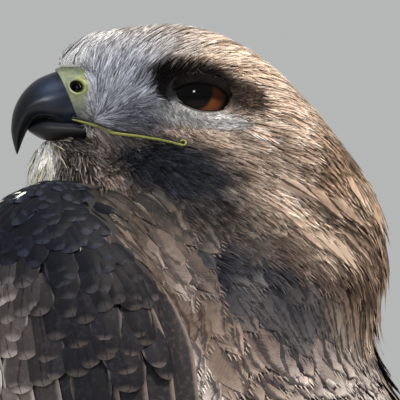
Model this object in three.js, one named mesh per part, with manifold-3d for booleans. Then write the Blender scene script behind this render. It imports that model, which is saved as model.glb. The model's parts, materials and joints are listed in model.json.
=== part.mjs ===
// A red-tailed hawk, life size, standing at rest with its head turned over its left shoulder and its
// neck drawn in.
// Millimetres, +Z up. The bird faces -Y, its left is +X, and the floor is at Z = 0.
import * as THREE from "three";
import { mergeVertices } from "three/addons/utils/BufferGeometryUtils.js";
import Module from "manifold-3d";

const wasm = await Module();
wasm.setup();

// Driving sizes
const GAP = 0.3; // between neighbouring pieces
const HEAD_TURN = 35; // degrees, from straight ahead towards the bird's left
const HEAD_CENTRE = new THREE.Vector3(3, -32, 355); // midway between the eyes
const EYE_RADIUS = 10;
const EYE_LATERAL = 14; // from the head's middle to the centre of an eyeball
const EYE_SLANT = 17; // degrees by which the front corner of the lids stands higher
const EYE_OPENING = [9.1, 4.9]; // half length and half height of the gap between the lids
const LID_THICKNESS = 1.4;
const WRIST_RAISE = 14; // how much higher the left wrist is held than the right one
const WRIST_FADE = 0.42; // share of the wing's length over which that raise dies out
const RIGHT_TUCK = 9; // how much closer to the body the right wrist lies
const FOOT_SPREAD = 35; // from the middle plane to each foot
const FLOOR = 0;

// Torso, from the root of the neck to the tail coverts: y, z, half width, half depth to the back, half
// depth to the belly
const TORSO = [
  [-44, 314, 36, 36, 38],
  [-42, 292, 49, 45, 46],
  [-37, 268, 57, 51, 53],
  [-22, 238, 59, 54, 57],
  [-1, 206, 58, 53, 54],
  [23, 176, 51, 46, 46],
  [50, 148, 37, 32, 31],
  [80, 127, 26, 18, 18],
  [110, 108, 20, 9, 10],
];
const TORSO_RINGS = 13;
const TORSO_SIDES = 22;
const TORSO_POWER = 2.15;

// Neck, from inside the torso up into the head: x, y, z, half width, half depth to the throat, to the
// nape, turn in degrees
const NECK = [
  [0, -37, 266, 52, 42, 44, 0],
  [0, -40, 286, 47, 40, 45, 6],
  [0, -40, 302, 42, 37, 52, 18],
  [1, -37, 316, 37, 35, 53, 29],
  [2, -34, 329, 33, 32, 49, 34],
  [3, -32, 341, 28, 24, 39.5, 35],
  [3, -32, 352, 19, 13, 28, 35],
];
const NECK_RINGS = 9;
const NECK_SIDES = 22;

// Long feathers that hang from the nape over the back
const HACKLES = 9;
const HACKLE_SPREAD = 17; // degrees from one to the next round the neck
const HACKLE_ROOT = 0.66; // share of the neck's height
const HACKLE_TIP = 0.2;
const HACKLE_WIDTH = 13;
const HACKLE_LIFT = 5.5; // how far the tips stand off the neck

// Head, from the back of the skull to the root of the bill: forward of the eye, top, bottom, half width
const HEAD = [
  [-41, -17, -33, 12],
  [-36, -10, -36, 21],
  [-25, 3.5, -38, 27.5],
  [-13, 12.5, -37, 27.5],
  [-1, 18, -34, 24],
  [10, 19, -30, 20.5],
  [19, 18, -24.5, 16.5],
  [26, 15.4, -18.5, 12.8],
  [30.5, 10.6, -14, 10.4],
];
const HEAD_RINGS = 11;
const HEAD_SIDES = 20;
const HEAD_POWER = 2.2;

// Throat and chin, from under the ear to the lower bill: forward of the eye, top, bottom, half width
const THROAT = [
  [-4, -18, -48, 25],
  [10, -16, -47, 23],
  [22, -14.5, -43, 18.5],
  [31, -13.2, -38, 12.5],
  [37.5, -13.6, -32, 7.4],
  [40.4, -16, -27, 3.6],
];

// The feathered forehead that laps over the cere, measured the same way
const FOREHEAD = [
  [14, 19, 4, 13],
  [22, 17.9, 4, 11.4],
  [31, 14.2, 5.5, 8.4],
  [37.6, 10.4, 7.2, 5],
];

// Brow over the eye: forward, above, thickness
const BROW = [
  [15, 6.2, 1.8],
  [8, 7.4, 3.2],
  [0, 7.2, 3.8],
  [-8, 4.8, 3.3],
  [-13, 2.2, 1.6],
];

// Folded wing, from the wrist to the tip: y, z, half width of the body under it, half depth to the
// back, to the belly, angle of its upper edge and of its lower edge from the middle of the back,
// thickness outside the body
const WING = [
  [-42, 317, 62, 40, 44, 84, 98, 2],
  [-43, 309, 61, 43, 46, 70, 122, 13],
  [-42, 294, 62, 45, 48, 56, 136, 20],
  [-38, 274, 65, 49, 52, 54, 138, 19],
  [-27, 248, 65, 54, 56, 59, 136, 16],
  [-8, 218, 63, 56, 55, 51, 131, 13],
  [16, 188, 57, 52, 49, 40, 124, 11],
  [46, 158, 47, 42, 36, 26, 114, 9.5],
  [80, 131, 36, 30, 22, 18, 102, 8],
  [118, 104, 27, 20, 14, 14, 90, 6.6],
  [158, 78, 21, 16, 10, 12, 76, 5.2],
  [196, 55, 17, 14, 8, 14, 60, 4],
  [226, 38, 14, 13, 7, 20, 44, 3],
];
const WING_RINGS = 12;
const WING_STEPS = 6; // points across the wing on each face
const WING_SINK = 24; // how deep the wing's raw block reaches before the body is cut out of it
const ARM_END = 0.56; // share of the wing's length at which its fleshy, covert-clad part ends

// How far the arm lies below the outer faces of the feathers: share of the wing's length, depth
const ARM_DEPTH = [
  [0, 0],
  [0.12, 0],
  [0.24, 1.6],
  [0.36, 4.8],
  [0.48, 7.6],
  [0.6, 10],
];

// Tiers of wing feathers, each from the upper to the lower edge of the wing. Places are shares of the
// wing's length and of its breadth; width, sink (depth of the root under the outer face) and rise
// (tilt) are in mm.
// Overlap is the breadth of a feather in steps from one to the next; the feathers of a stacked tier
// lie flat over one another instead of tilted.
const TIERS = [
  {
    count: 6, root: [0.47, 0.45], tip: [0.88, 1], start: [0.3, 0.8], end: [0.2, 0.8],
    width: 17, sink: 9, stacked: true,
  },
  {
    count: 8, root: [0.37, 0.33], tip: [0.8, 0.66], start: [0.14, 0.88], end: [0.12, 0.86],
    width: 26, sink: 5.8, overlap: 1.55,
  },
  {
    count: 8, root: [0.27, 0.25], tip: [0.52, 0.45], start: [0.1, 0.9], end: [0.1, 0.9],
    width: 26, sink: 4.4, overlap: 1.5,
  },
];
const VANE_THICKNESS = 0.6;
const VANE_STEP = 0.95; // from the face of one flat feather to the face of the one under it
const VANE_TILT = 1.4; // the same between tilted feathers
const VANE_SHAPE = [
  [0, 0.5],
  [0.3, 0.86],
  [0.7, 1],
  [0.92, 0.72],
  [1, 0.2],
];

// Tail
const TAIL_ROOT = new THREE.Vector3(0, 92, 117);
const TAIL_FALL = 35; // degrees below the horizontal
const TAIL_LENGTH = 156;
const TAIL_PAIRS = 6;
const TAIL_FAN = 1.9; // degrees between neighbouring feathers
const TAIL_WIDTH = 33; // of one feather
const TAIL_SHRINK = 2.2; // how much shorter each pair is than the one above it

// Leg, from the belly to the foot: sideways from the foot's plane, y, z, half width, half depth
const THIGH = [
  [-6, -6, 196, 24, 34],
  [-4, -4, 166, 23, 30],
  [-1, 2, 136, 17, 22],
  [0, 10, 108, 11.5, 14],
  [0, 16, 89, 8, 9.5],
];
const SHANK = [
  [0, 18, 92, 5.6, 6.4],
  [0, 17, 80, 6.2, 6.8],
  [0, 11, 58, 4.6, 5.4],
  [0, 5, 34, 4.5, 5.2],
  [0, 0, 15, 6.6, 7],
  [0, -2, 8, 5, 6],
];

// Toes: name, direction in degrees from straight ahead towards the middle, length, thickness at the
// root, claw length
const TOES = [
  ["inner", 24, 33, 5.2, 25],
  ["middle", -6, 47, 5, 21],
  ["outer", -42, 36, 4.6, 18],
  ["back", 164, 27, 5.2, 27],
];
const TOE_SIDES = 8;
const CLAW_SIDES = 6;

// Bill and cere, in the head's frame: forward and height of the upper edge, of the lower edge, half width
const CERE = [
  [29, 11, 28, -8, 10.2],
  [33.5, 10.3, 30.5, -7.6, 9.7],
  [38.6, 8.6, 33, -7.2, 8.5],
];
const BILL = [
  [39, 7.9, 33.4, -7, 7.9],
  [43.8, 5.6, 38.4, -6.5, 7],
  [47.9, 1.6, 41.6, -5.9, 5.8],
  [50.1, -3.2, 44.2, -6.9, 4.5],
  [50.8, -8, 46.2, -9.2, 3.2],
  [50.4, -11.2, 47.6, -11.9, 2.1],
  [49.5, -14.4, 48.5, -14.5, 0.9],
  [49, -15.6, 48.9, -15.6, 0.35],
];
const LOWER_BILL = [
  [29, -9.2, 29, -12.6, 8],
  [34, -7, 33.6, -12.9, 7.3],
  [38.6, -6.2, 38, -13, 6.2],
  [42.6, -6.2, 42, -12.4, 4.7],
  [45.4, -8.2, 44.6, -10.9, 2.2],
];
const GAPE = [
  [30, -8.2],
  [24, -10.2],
  [16, -11.8],
  [9, -13.3],
  [5.4, -14.2],
];

const FINISHES = {
  crown: { color: 0x7d6350, roughness: 0.85 },
  mantle: { color: 0x4a3d36, roughness: 0.85 },
  breast: { color: 0xcdbda8, roughness: 0.9 },
  wing: { color: 0x3a302b, roughness: 0.8 },
  tail: { color: 0xa9552c, roughness: 0.8 },
  thigh: { color: 0xd2bea1, roughness: 0.9 },
  cere: { color: 0x9aa35c, roughness: 0.45 },
  bill: { color: 0x2a3342, roughness: 0.3 },
  skin: { color: 0xd8b63c, roughness: 0.55 },
  claw: { color: 0x17171a, roughness: 0.25 },
  eye: { color: 0x4a1f0e, roughness: 0.05 },
};

// Basic tools

const radians = THREE.MathUtils.degToRad;
const vector = (x, y, z) => new THREE.Vector3(x, y, z);

// The row at share t of a list of stations, on a smooth curve through them.
function along(rows, t) {
  const span = Math.min(Math.max(t, 0), 1) * (rows.length - 1);
  const i = Math.min(Math.floor(span), rows.length - 2);
  const f = span - i;
  const before = rows[Math.max(i - 1, 0)];
  const after = rows[Math.min(i + 2, rows.length - 1)];
  return rows[i].map((p, k) => {
    const q = rows[i + 1][k];
    const slope = q - before[k];
    const bend = 2 * before[k] - 5 * p + 4 * q - after[k];
    const twist = 3 * p - before[k] - 3 * q + after[k];
    return p + 0.5 * f * (slope + f * (bend + f * twist));
  });
}

// A closed geometry as a solid, with its faces turned outwards.
function solid(geometry) {
  const bare = geometry.clone();
  bare.deleteAttribute("normal");
  bare.deleteAttribute("uv");
  const merged = mergeVertices(bare, 1e-4);
  const corners = Uint32Array.from(merged.index.array);
  const make = () =>
    new wasm.Manifold(
      new wasm.Mesh({
        numProp: 3,
        vertProperties: Float32Array.from(merged.attributes.position.array),
        triVerts: corners,
      }),
    );
  const made = make();
  if (made.volume() > 0) return made;
  for (let i = 0; i < corners.length; i += 3)
    [corners[i + 1], corners[i + 2]] = [corners[i + 2], corners[i + 1]];
  return make();
}

// A solid through rings of points, closed at both ends on the middle of the end ring.
function loft(rings) {
  const sides = rings[0].length;
  const middle = (ring) =>
    ring.reduce((sum, p) => sum.add(p), vector(0, 0, 0)).divideScalar(sides);
  const points = [...rings.flat(), middle(rings[0]), middle(rings.at(-1))];
  const corners = [];
  const last = (rings.length - 1) * sides;
  for (let k = 0; k < sides; k++) {
    const next = (k + 1) % sides;
    for (let i = 0; i < last; i += sides) {
      corners.push(i + k, i + next, i + sides + next);
      corners.push(i + k, i + sides + next, i + sides + k);
    }
    corners.push(points.length - 2, next, k);
    corners.push(points.length - 1, last + k, last + next);
  }
  const geometry = new THREE.BufferGeometry().setFromPoints(points);
  geometry.setIndex(corners);
  return solid(geometry);
}

// A rounded ring: centre, unit vectors across and up, half width, half heights above and below, and
// how square it is.
function ring(centre, side, up, width, above, below, sides, power = 2) {
  const bulge = (v) => Math.sign(v) * Math.abs(v) ** (2 / power);
  return Array.from({ length: sides }, (_, k) => {
    const angle = (2 * Math.PI * k) / sides;
    const height = bulge(Math.sin(angle));
    return centre
      .clone()
      .addScaledVector(side, width * bulge(Math.cos(angle)))
      .addScaledVector(up, (height > 0 ? above : below) * height);
  });
}

// A round rod through points, with a radius at each one.
function rod(points, radii, sides) {
  const rings = points.map((p, i) => {
    const ahead = points[Math.min(i + 1, points.length - 1)];
    const behind = points[Math.max(i - 1, 0)];
    const axis = ahead.clone().sub(behind).normalize();
    const aside = Math.abs(axis.z) > 0.9 ? vector(0, 1, 0) : vector(0, 0, 1);
    const side = axis.clone().cross(aside).normalize();
    const up = side.clone().cross(axis);
    return ring(p, side, up, radii[i], radii[i], radii[i], sides);
  });
  return loft(rings);
}

// A closed ring of round section through points, one after the other.
function hoop(points, radius, sides) {
  const centre = points.reduce((sum, p) => sum.add(p), vector(0, 0, 0)).divideScalar(points.length);
  const count = points.length;
  const rings = points.map((p, i) => {
    const axis = points[(i + 1) % count].clone().sub(points[(i + count - 1) % count]).normalize();
    const side = p.clone().sub(centre).projectOnPlane(axis).normalize();
    return ring(p, side, side.clone().cross(axis), radius, radius, radius, sides);
  });
  const corners = [];
  for (let i = 0; i < count; i++) {
    const here = i * sides;
    const there = ((i + 1) % count) * sides;
    for (let k = 0; k < sides; k++) {
      const next = (k + 1) % sides;
      corners.push(here + k, here + next, there + next, here + k, there + next, there + k);
    }
  }
  const geometry = new THREE.BufferGeometry().setFromPoints(rings.flat());
  geometry.setIndex(corners);
  return solid(geometry);
}

// A feather: a thin closed plate through sections, each an upper left, upper right, lower right and
// lower left point.
// Both faces are split along the same diagonals, so that the plate stays even where it twists.
function vane(sections) {
  const corners = [];
  const quad = (a, b, c, d) => corners.push(a, b, c, a, c, d);
  for (let i = 0; i < sections.length - 1; i++) {
    const n = 4 * i;
    quad(n, n + 1, n + 5, n + 4);
    quad(n + 2, n + 3, n + 7, n + 6);
    corners.splice(-6, 6, n + 3, n + 6, n + 2, n + 3, n + 7, n + 6);
    quad(n + 1, n + 2, n + 6, n + 5);
    quad(n + 3, n, n + 4, n + 7);
  }
  const end = 4 * (sections.length - 1);
  quad(0, 3, 2, 1);
  quad(end, end + 1, end + 2, end + 3);
  const geometry = new THREE.BufferGeometry().setFromPoints(sections.flat());
  geometry.setIndex(corners);
  return solid(geometry);
}

const shares = (count) => Array.from({ length: count + 1 }, (_, i) => i / count);

function union(solids) {
  return solids.reduce((sum, s) => sum.add(s));
}

// The largest closed piece of a solid, so that no scrap is left by a cut.
function largest(made) {
  const pieces = made.decompose();
  return pieces.reduce((a, b) => (b.volume() > a.volume() ? b : a));
}

// A large block that lies below the plane through point with that normal, shifted along the normal.
function halfSpace(point, normal, shift) {
  const size = 900;
  const block = new THREE.BoxGeometry(size, size, size);
  block.translate(0, 0, -size / 2);
  const turn = new THREE.Quaternion().setFromUnitVectors(vector(0, 0, 1), normal);
  block.applyQuaternion(turn);
  const place = point.clone().addScaledVector(normal, shift);
  block.translate(place.x, place.y, place.z);
  return solid(block);
}

// Splits a solid at a plane with a thin gap: [the part above, the part below].
function part(made, point, normal) {
  const unit = normal.clone().normalize();
  return [
    largest(made.subtract(halfSpace(point, unit, GAP / 2))),
    largest(made.intersect(halfSpace(point, unit, -GAP / 2))),
  ];
}

// Head frame

const facing = vector(Math.sin(radians(HEAD_TURN)), -Math.cos(radians(HEAD_TURN)), 0);
const leftOf = vector(Math.cos(radians(HEAD_TURN)), Math.sin(radians(HEAD_TURN)), 0);
const upward = vector(0, 0, 1);

// A point of the head: forward of the eyes, above them, and out to the bird's left.
function headPoint(forward, height, lateral = 0) {
  return HEAD_CENTRE.clone()
    .addScaledVector(facing, forward)
    .addScaledVector(upward, height)
    .addScaledVector(leftOf, lateral);
}

// A ring of the head between an upper and a lower point of its profile.
function headRing([topA, topH, lowA, lowH, width], grow, sides, power) {
  const top = headPoint(topA, topH);
  const low = headPoint(lowA, lowH);
  const up = top.clone().sub(low);
  const half = up.length() / 2 + grow;
  const centre = top.add(low).multiplyScalar(0.5);
  return ring(centre, leftOf, up.normalize(), width + grow, half, half, sides, power);
}

function profileLoft(rows, grow, rings, sides, power) {
  return loft(
    shares(rings).map((t) => headRing(along(rows, t), grow, sides, power)),
  );
}

// Flesh

function torso(grow = 0) {
  const step = 0.01;
  return loft(
    shares(TORSO_RINGS).map((t) => {
      const [y, z, width, back, belly] = along(TORSO, t);
      const [y0, z0] = along(TORSO, t - step);
      const [y1, z1] = along(TORSO, t + step);
      const axis = vector(0, y1 - y0, z1 - z0).normalize();
      const up = vector(0, -axis.z, axis.y);
      const centre = vector(0, y, z);
      return ring(
        centre,
        vector(1, 0, 0),
        up,
        width + grow,
        back + grow,
        belly + grow,
        TORSO_SIDES,
        TORSO_POWER,
      );
    }),
  );
}

// The centre, the directions to the left and ahead, and the half sizes of the neck at a share of its
// height.
function neckFrame(t) {
  const [x, y, z, width, front, back, turn] = along(NECK, t);
  const angle = radians(turn);
  const ahead = vector(Math.sin(angle), -Math.cos(angle), 0);
  const left = vector(Math.cos(angle), Math.sin(angle), 0);
  return { centre: vector(x, y, z), left, ahead, width, front, back };
}

function neck(grow = 0) {
  return loft(
    shares(NECK_RINGS).map((t) => {
      const { centre, left, ahead, width, front, back } = neckFrame(t);
      return ring(centre, left, ahead, width + grow, front + grow, back + grow, NECK_SIDES);
    }),
  );
}

// One feather of the nape, counted from its left side to its right.
function hackle(index, grow) {
  const middle = radians((index - (HACKLES - 1) / 2) * HACKLE_SPREAD);
  return vane(
    VANE_SHAPE.map(([l, wide]) => {
      const t = THREE.MathUtils.lerp(HACKLE_ROOT, HACKLE_TIP, l);
      const { centre, left, ahead, width, back } = neckFrame(t);
      const half = (0.5 * HACKLE_WIDTH * wide + grow) / back;
      const tilt = 0.5 * wide;
      const out = THREE.MathUtils.lerp(-5, HACKLE_LIFT, Math.sqrt(l));
      const corner = (side, under) => {
        const angle = middle + side * half;
        const lift = out - side * tilt + (under ? -VANE_THICKNESS - grow : grow);
        return centre
          .clone()
          .addScaledVector(left, -Math.sin(angle) * (width + lift))
          .addScaledVector(ahead, -Math.cos(angle) * (back + lift));
      };
      return [corner(-1, 0), corner(1, 0), corner(1, 1), corner(-1, 1)];
    }),
  );
}

// Head

// How far out the side of the skull stands, forward of the eyes and above them.
function cheek(forward, height) {
  const i = HEAD.findIndex(([a]) => a > forward);
  const low = HEAD[i - 1];
  const high = HEAD[i];
  const f = (forward - low[0]) / (high[0] - low[0]);
  const [top, bottom, width] = [1, 2, 3].map((k) => THREE.MathUtils.lerp(low[k], high[k], f));
  const share = Math.abs((2 * height - top - bottom) / (top - bottom));
  return width * (1 - Math.min(share, 1) ** HEAD_POWER) ** (1 / HEAD_POWER);
}

// The skull with the throat and the forehead, a brow on each side, and lips along the gape.
function head() {
  const column = ([a, top, low, width]) => [a, top, a, low, width];
  const bulk = [
    profileLoft(HEAD.map(column), 0, HEAD_RINGS, HEAD_SIDES, HEAD_POWER),
    profileLoft(THROAT.map(column), 0, 5, 14, 2.1),
    forehead(0),
  ];
  for (const s of [1, -1]) {
    const brow = BROW.map(([a, h, r]) => headPoint(a, h, s * (cheek(a, h) - 0.4 * r)));
    bulk.push(rod(brow, BROW.map(([, , r]) => r), 7));
    const lips = GAPE.map(([a, h]) => headPoint(a, h, s * (cheek(a, h) + 0.1)));
    bulk.push(rod(lips, [1.5, 1.5, 1.4, 1.4, 1], 6));
  }
  return union(bulk);
}

// Opens the eyes between their lids and cuts the line of the mouth on both sides.
function openFace(skull) {
  return [1, -1].reduce(
    (face, s) =>
      face.subtract(eyeGap(s)).add(lids(s)).subtract(eyeball(s, GAP)).subtract(mouthSlot(s)),
    skull,
  );
}

function forehead(grow) {
  const rows = FOREHEAD.map(([a, top, low, width]) => [a, top, a, low, width]);
  return profileLoft(rows, grow, 3, 12, 2);
}

// A point on the long oval of the lids, a little outside their gap.
function ovalPoint(s, angle, wider, lateral) {
  const x = (EYE_OPENING[0] + wider) * Math.cos(angle);
  const y = (EYE_OPENING[1] + wider) * Math.sin(angle);
  const slant = radians(EYE_SLANT);
  const forward = x * Math.cos(slant) - y * Math.sin(slant);
  const height = x * Math.sin(slant) + y * Math.cos(slant);
  const reach = EYE_RADIUS + GAP + LID_THICKNESS;
  const onBall = EYE_LATERAL + Math.sqrt(reach ** 2 - forward ** 2 - height ** 2);
  return headPoint(forward, height, s * (lateral ?? onBall));
}

const LID_STEPS = 16;
const lidAngles = Array.from({ length: LID_STEPS }, (_, k) => (2 * Math.PI * k) / LID_STEPS);

// The block that opens the skull between the lids, down to the eyeball.
function eyeGap(s) {
  return loft([17, 34].map((out) => lidAngles.map((angle) => ovalPoint(s, angle, 0, out))));
}

function lids(s) {
  return hoop(lidAngles.map((angle) => ovalPoint(s, angle, 0.9)), LID_THICKNESS, 5);
}

// An eyeball, or with fewer faces the hollow that it lies in.
function eyeball(s, grow = 0) {
  const sides = grow > 0 ? 12 : 18;
  const ball = new THREE.SphereGeometry(EYE_RADIUS + 2.6 * grow, sides, 0.6 * sides);
  const place = headPoint(0, 0, EYE_LATERAL * s);
  ball.translate(place.x, place.y, place.z);
  return solid(ball);
}

// A thin slot along the gape, which is the line of the mouth.
function mouthSlot(s) {
  const half = upward.clone().multiplyScalar(0.35);
  const rings = GAPE.map(([a, h]) => {
    const outer = headPoint(a, h, (cheek(a, h) + 3) * s);
    const inner = headPoint(a, h, (cheek(a, h) - 1.2) * s);
    return [
      outer.clone().add(half),
      inner.clone().add(half),
      inner.clone().sub(half),
      outer.clone().sub(half),
    ];
  });
  return loft(rings);
}

function thigh(s, grow = 0) {
  return loft(
    shares(6).map((t) => {
      const [x, y, z, width, depth] = along(THIGH, t);
      const centre = vector(s * (FOOT_SPREAD + x), y, z);
      return ring(
        centre,
        vector(1, 0, 0),
        vector(0, 1, 0),
        width + grow,
        depth + grow,
        depth + grow,
        14,
      );
    }),
  );
}

function shank(s, grow = 0) {
  return loft(
    shares(7).map((t) => {
      const [x, y, z, width, depth] = along(SHANK, t);
      const centre = vector(s * (FOOT_SPREAD + x), y, z);
      return ring(
        centre,
        vector(1, 0, 0),
        vector(0, 1, 0),
        width + grow,
        depth + grow,
        depth + grow,
        10,
      );
    }),
  );
}

// Wings

// A point of a wing: share of its length, share across from the upper edge, and how far out of the
// outer face.
function wingPoint(s, t, across, out) {
  const [y, z, width, back, belly, top, low, thick] = along(WING, t);
  const [y0, z0] = along(WING, t - 0.01);
  const [y1, z1] = along(WING, t + 0.01);
  const axis = vector(0, y1 - y0, z1 - z0).normalize();
  const up = vector(0, -axis.z, axis.y);
  const fade = THREE.MathUtils.smoothstep(WRIST_FADE - t, 0, WRIST_FADE);
  const angle = radians(top + (low - top) * across);
  const round = Math.sqrt(Math.max(0, 1 - (2 * across - 1) ** 2));
  const tuck = s > 0 ? 0 : RIGHT_TUCK * fade;
  const reach = Math.max(thick * (0.25 + 0.75 * round) - tuck, 1) + out;
  const depth = Math.cos(angle) > 0 ? back : belly;
  const lift = s > 0 ? WRIST_RAISE * fade : 0;
  return vector(0, y, z + lift)
    .addScaledVector(vector(s, 0, 0), Math.sin(angle) * (width + reach))
    .addScaledVector(up, Math.cos(angle) * (depth + reach));
}

// The value at a share in a short table of [share, value] pairs.
function lookUp(table, share) {
  const i = Math.max(1, table.findIndex(([x]) => x >= share));
  const [x0, y0] = table[i - 1];
  const [x1, y1] = table[i];
  return THREE.MathUtils.lerp(y0, y1, Math.min(1, (share - x0) / (x1 - x0)));
}

// The fleshy part of a wing, under its coverts.
function arm(s) {
  const across = shares(WING_STEPS);
  return loft(
    shares(WING_RINGS).map((share) => {
      const t = share * ARM_END;
      const depth = lookUp(ARM_DEPTH, t);
      const outer = across.map((v) => wingPoint(s, t, v, -depth));
      const inner = across.map((v) => wingPoint(s, t, 1 - v, -WING_SINK));
      return [...outer, ...inner];
    }),
  );
}

// One wing feather of a tier, counted from the upper edge of the wing to the lower one.
function wingVane(s, tier, index) {
  const { lerp } = THREE.MathUtils;
  const k = index / (tier.count - 1);
  const [t0, t1] = [tier.root, tier.tip].map((ends) => lerp(ends[0], ends[1], k));
  return vane(
    VANE_SHAPE.map(([l, wide]) => {
      const t = lerp(t0, t1, l);
      const from = lerp(tier.start[0], tier.end[0], l);
      const to = lerp(tier.start[1], tier.end[1], l);
      const across = lerp(from, to, k);
      const depth = -tier.sink * (1 - l) - 1.6;
      const upper = wingPoint(s, t, 0, depth);
      const lower = wingPoint(s, t, 1, depth);
      const breadth = upper.distanceTo(lower);
      const pitch = (breadth * (to - from)) / (tier.count - 1);
      if (tier.stacked) {
        const middle = wingPoint(s, t, 0.5, depth - VANE_STEP * index);
        const down = lower.sub(upper).normalize();
        const out = wingPoint(s, t, 0.5, 1).sub(wingPoint(s, t, 0.5, 0)).projectOnPlane(down);
        const flat = (side, under) =>
          middle
            .clone()
            .addScaledVector(down, breadth * (across - 0.5) + 0.5 * side * wide * tier.width)
            .addScaledVector(out.normalize(), -under * VANE_THICKNESS);
        return [flat(-1, 0), flat(1, 0), flat(1, 1), flat(-1, 1)];
      }
      const width = wide * Math.min(tier.width, tier.overlap * pitch);
      const half = (0.5 * width) / breadth;
      const tilt = (0.5 * width * VANE_TILT) / pitch;
      const corner = (side, under) =>
        wingPoint(s, t, across + side * half, depth - side * tilt - under * VANE_THICKNESS);
      return [corner(-1, 0), corner(1, 0), corner(1, 1), corner(-1, 1)];
    }),
  );
}

// A folded wing: the arm with its tiers of long feathers and coverts.
function wing(s) {
  const vanes = TIERS.flatMap((tier) =>
    Array.from({ length: tier.count }, (_, index) => wingVane(s, tier, index)),
  );
  return union([arm(s), ...vanes]);
}

// Tail

// One tail feather of a side, counted out from the middle; each lies under the one before it.
function tailVane(s, index) {
  const fall = radians(TAIL_FALL);
  const back = vector(0, Math.cos(fall), -Math.sin(fall));
  const up = vector(0, Math.sin(fall), Math.cos(fall));
  const turn = radians((index + 0.5) * TAIL_FAN);
  const length = TAIL_LENGTH - TAIL_SHRINK * index;
  const level = -VANE_STEP * (index === 0 ? (1 - s) / 2 : index + 1);
  const middle = index === 0 ? -TAIL_WIDTH : 0.2;
  return vane(
    VANE_SHAPE.map(([l, wide]) => {
      const run = length * l;
      const half = 0.5 * TAIL_WIDTH * wide;
      const offset = Math.sin(turn) * run;
      const onShaft = TAIL_ROOT.clone().addScaledVector(back, Math.cos(turn) * run);
      const corner = (x, height) =>
        onShaft.clone().add(vector(s * x, 0, 0)).addScaledVector(up, level + height);
      const inner = Math.max(offset - half, middle);
      const outer = Math.max(offset + half, inner + 1);
      return [
        corner(inner, 0),
        corner(outer, 0),
        corner(outer, -VANE_THICKNESS),
        corner(inner, -VANE_THICKNESS),
      ];
    }),
  );
}

// The tail: a wedge of flesh and coverts that holds the roots of all its feathers.
function tail() {
  const fall = radians(TAIL_FALL);
  const back = vector(0, Math.cos(fall), -Math.sin(fall));
  const up = vector(0, Math.sin(fall), Math.cos(fall));
  const holder = loft(
    [[-6, 18, 5.5], [18, 18, 5.2], [40, 17, 4.2], [58, 12, 3]].map(([run, half, depth]) => {
      const centre = TAIL_ROOT.clone().addScaledVector(back, run).addScaledVector(up, -2.6);
      return ring(centre, vector(1, 0, 0), up, half, depth, depth, 14, 2.4);
    }),
  );
  const vanes = [1, -1].flatMap((s) => shares(TAIL_PAIRS - 1).map((_, i) => tailVane(s, i)));
  return union([holder, ...vanes]);
}

// Feet

// A toe lies along the floor from the ball of the foot, with a pad under each joint.
function toeLine(s, [, turn, length, thick]) {
  const angle = radians(turn);
  const way = vector(-s * Math.sin(angle), -Math.cos(angle), 0);
  const start = vector(s * FOOT_SPREAD, -2, 6.5);
  const at = (share, height) => {
    const p = start.clone().addScaledVector(way, length * share);
    p.z = height;
    return p;
  };
  const points = [
    at(0, 7),
    at(0.22, 6.4),
    at(0.4, 5.2),
    at(0.58, 5),
    at(0.72, 4.2),
    at(0.88, 4.4),
    at(1, 4.6),
  ];
  const radii = [1.15, 1.08, 0.92, 1.02, 0.84, 0.9, 0.62].map((k) => k * thick);
  return { points, radii, way };
}

function foot(s) {
  const floor = halfSpace(vector(0, 0, FLOOR), vector(0, 0, 1), 0);
  const toes = TOES.map((toe) => {
    const { points, radii } = toeLine(s, toe);
    return rod(points, radii, TOE_SIDES);
  });
  const ball = new THREE.SphereGeometry(8, 10, 7);
  ball.scale(1, 1.1, 0.9);
  ball.translate(s * FOOT_SPREAD, -2, 7);
  return union([solid(ball), ...toes]).subtract(floor);
}

// A claw leaves the toe's end, arches and comes down to the floor.
function claw(s, toe) {
  const { points, way } = toeLine(s, toe);
  const length = toe[4];
  const root = points.at(-1);
  const bends = [
    [-0.1, 0.05],
    [0.16, 0.12],
    [0.38, 0.08],
    [0.56, -0.02],
    [0.66, -0.135],
  ];
  const line = bends.map(([out, rise]) => {
    const p = root.clone().addScaledVector(way, length * out);
    p.z = Math.max(root.z + length * rise, 0.7);
    return p;
  });
  const thick = toe[3] * 0.62;
  const radii = [1, 0.95, 0.72, 0.42, 0.1].map((k) => k * thick);
  return rod(line, radii, CLAW_SIDES);
}

// Assembly

const flesh = union([torso(), neck(), head()]);
const cleared = union([torso(GAP), neck(GAP), thigh(1, GAP), thigh(-1, GAP)]);
const pieces = new Map();

const headPlane = [headPoint(0, -25), vector(0, 0, 1).addScaledVector(facing, 0.1).normalize()];
const [headAndBill, trunk] = part(flesh, ...headPlane);
const [neckPiece, body] = part(trunk, vector(0, -42, 296), vector(0, -0.15, 1));
const [trunkPiece, rump] = part(body, vector(0, 56, 143), vector(0, -0.78, 0.62));

const cereRaw = profileLoft(CERE, 0, 3, 16, 2.2);
const billRaw = profileLoft(BILL, 0, 10, 16, 2.1);
const lowerRaw = profileLoft(LOWER_BILL, 0, 6, 14, 2.1);
const cereRoom = profileLoft(CERE, GAP, 3, 16, 2.2);
const billRoom = profileLoft(BILL, GAP, 10, 16, 2.1);
const lowerRoom = profileLoft(LOWER_BILL, GAP, 6, 14, 2.1);

const skullRoom = cereRoom.subtract(forehead(0)).add(lowerRoom).add(billRoom);
pieces.set("head", [largest(openFace(headAndBill).subtract(skullRoom)), "crown"]);

const nape = Array.from({ length: HACKLES }, (_, index) => hackle(index, 0));
const napeRoom = union(Array.from({ length: HACKLES }, (_, index) => hackle(index, GAP)));
const hackles = union(nape).intersect(halfSpace(...headPlane, -GAP / 2)).subtract(torso(GAP));
pieces.set("neck", [largest(neckPiece.add(hackles)), "crown"]);

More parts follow.
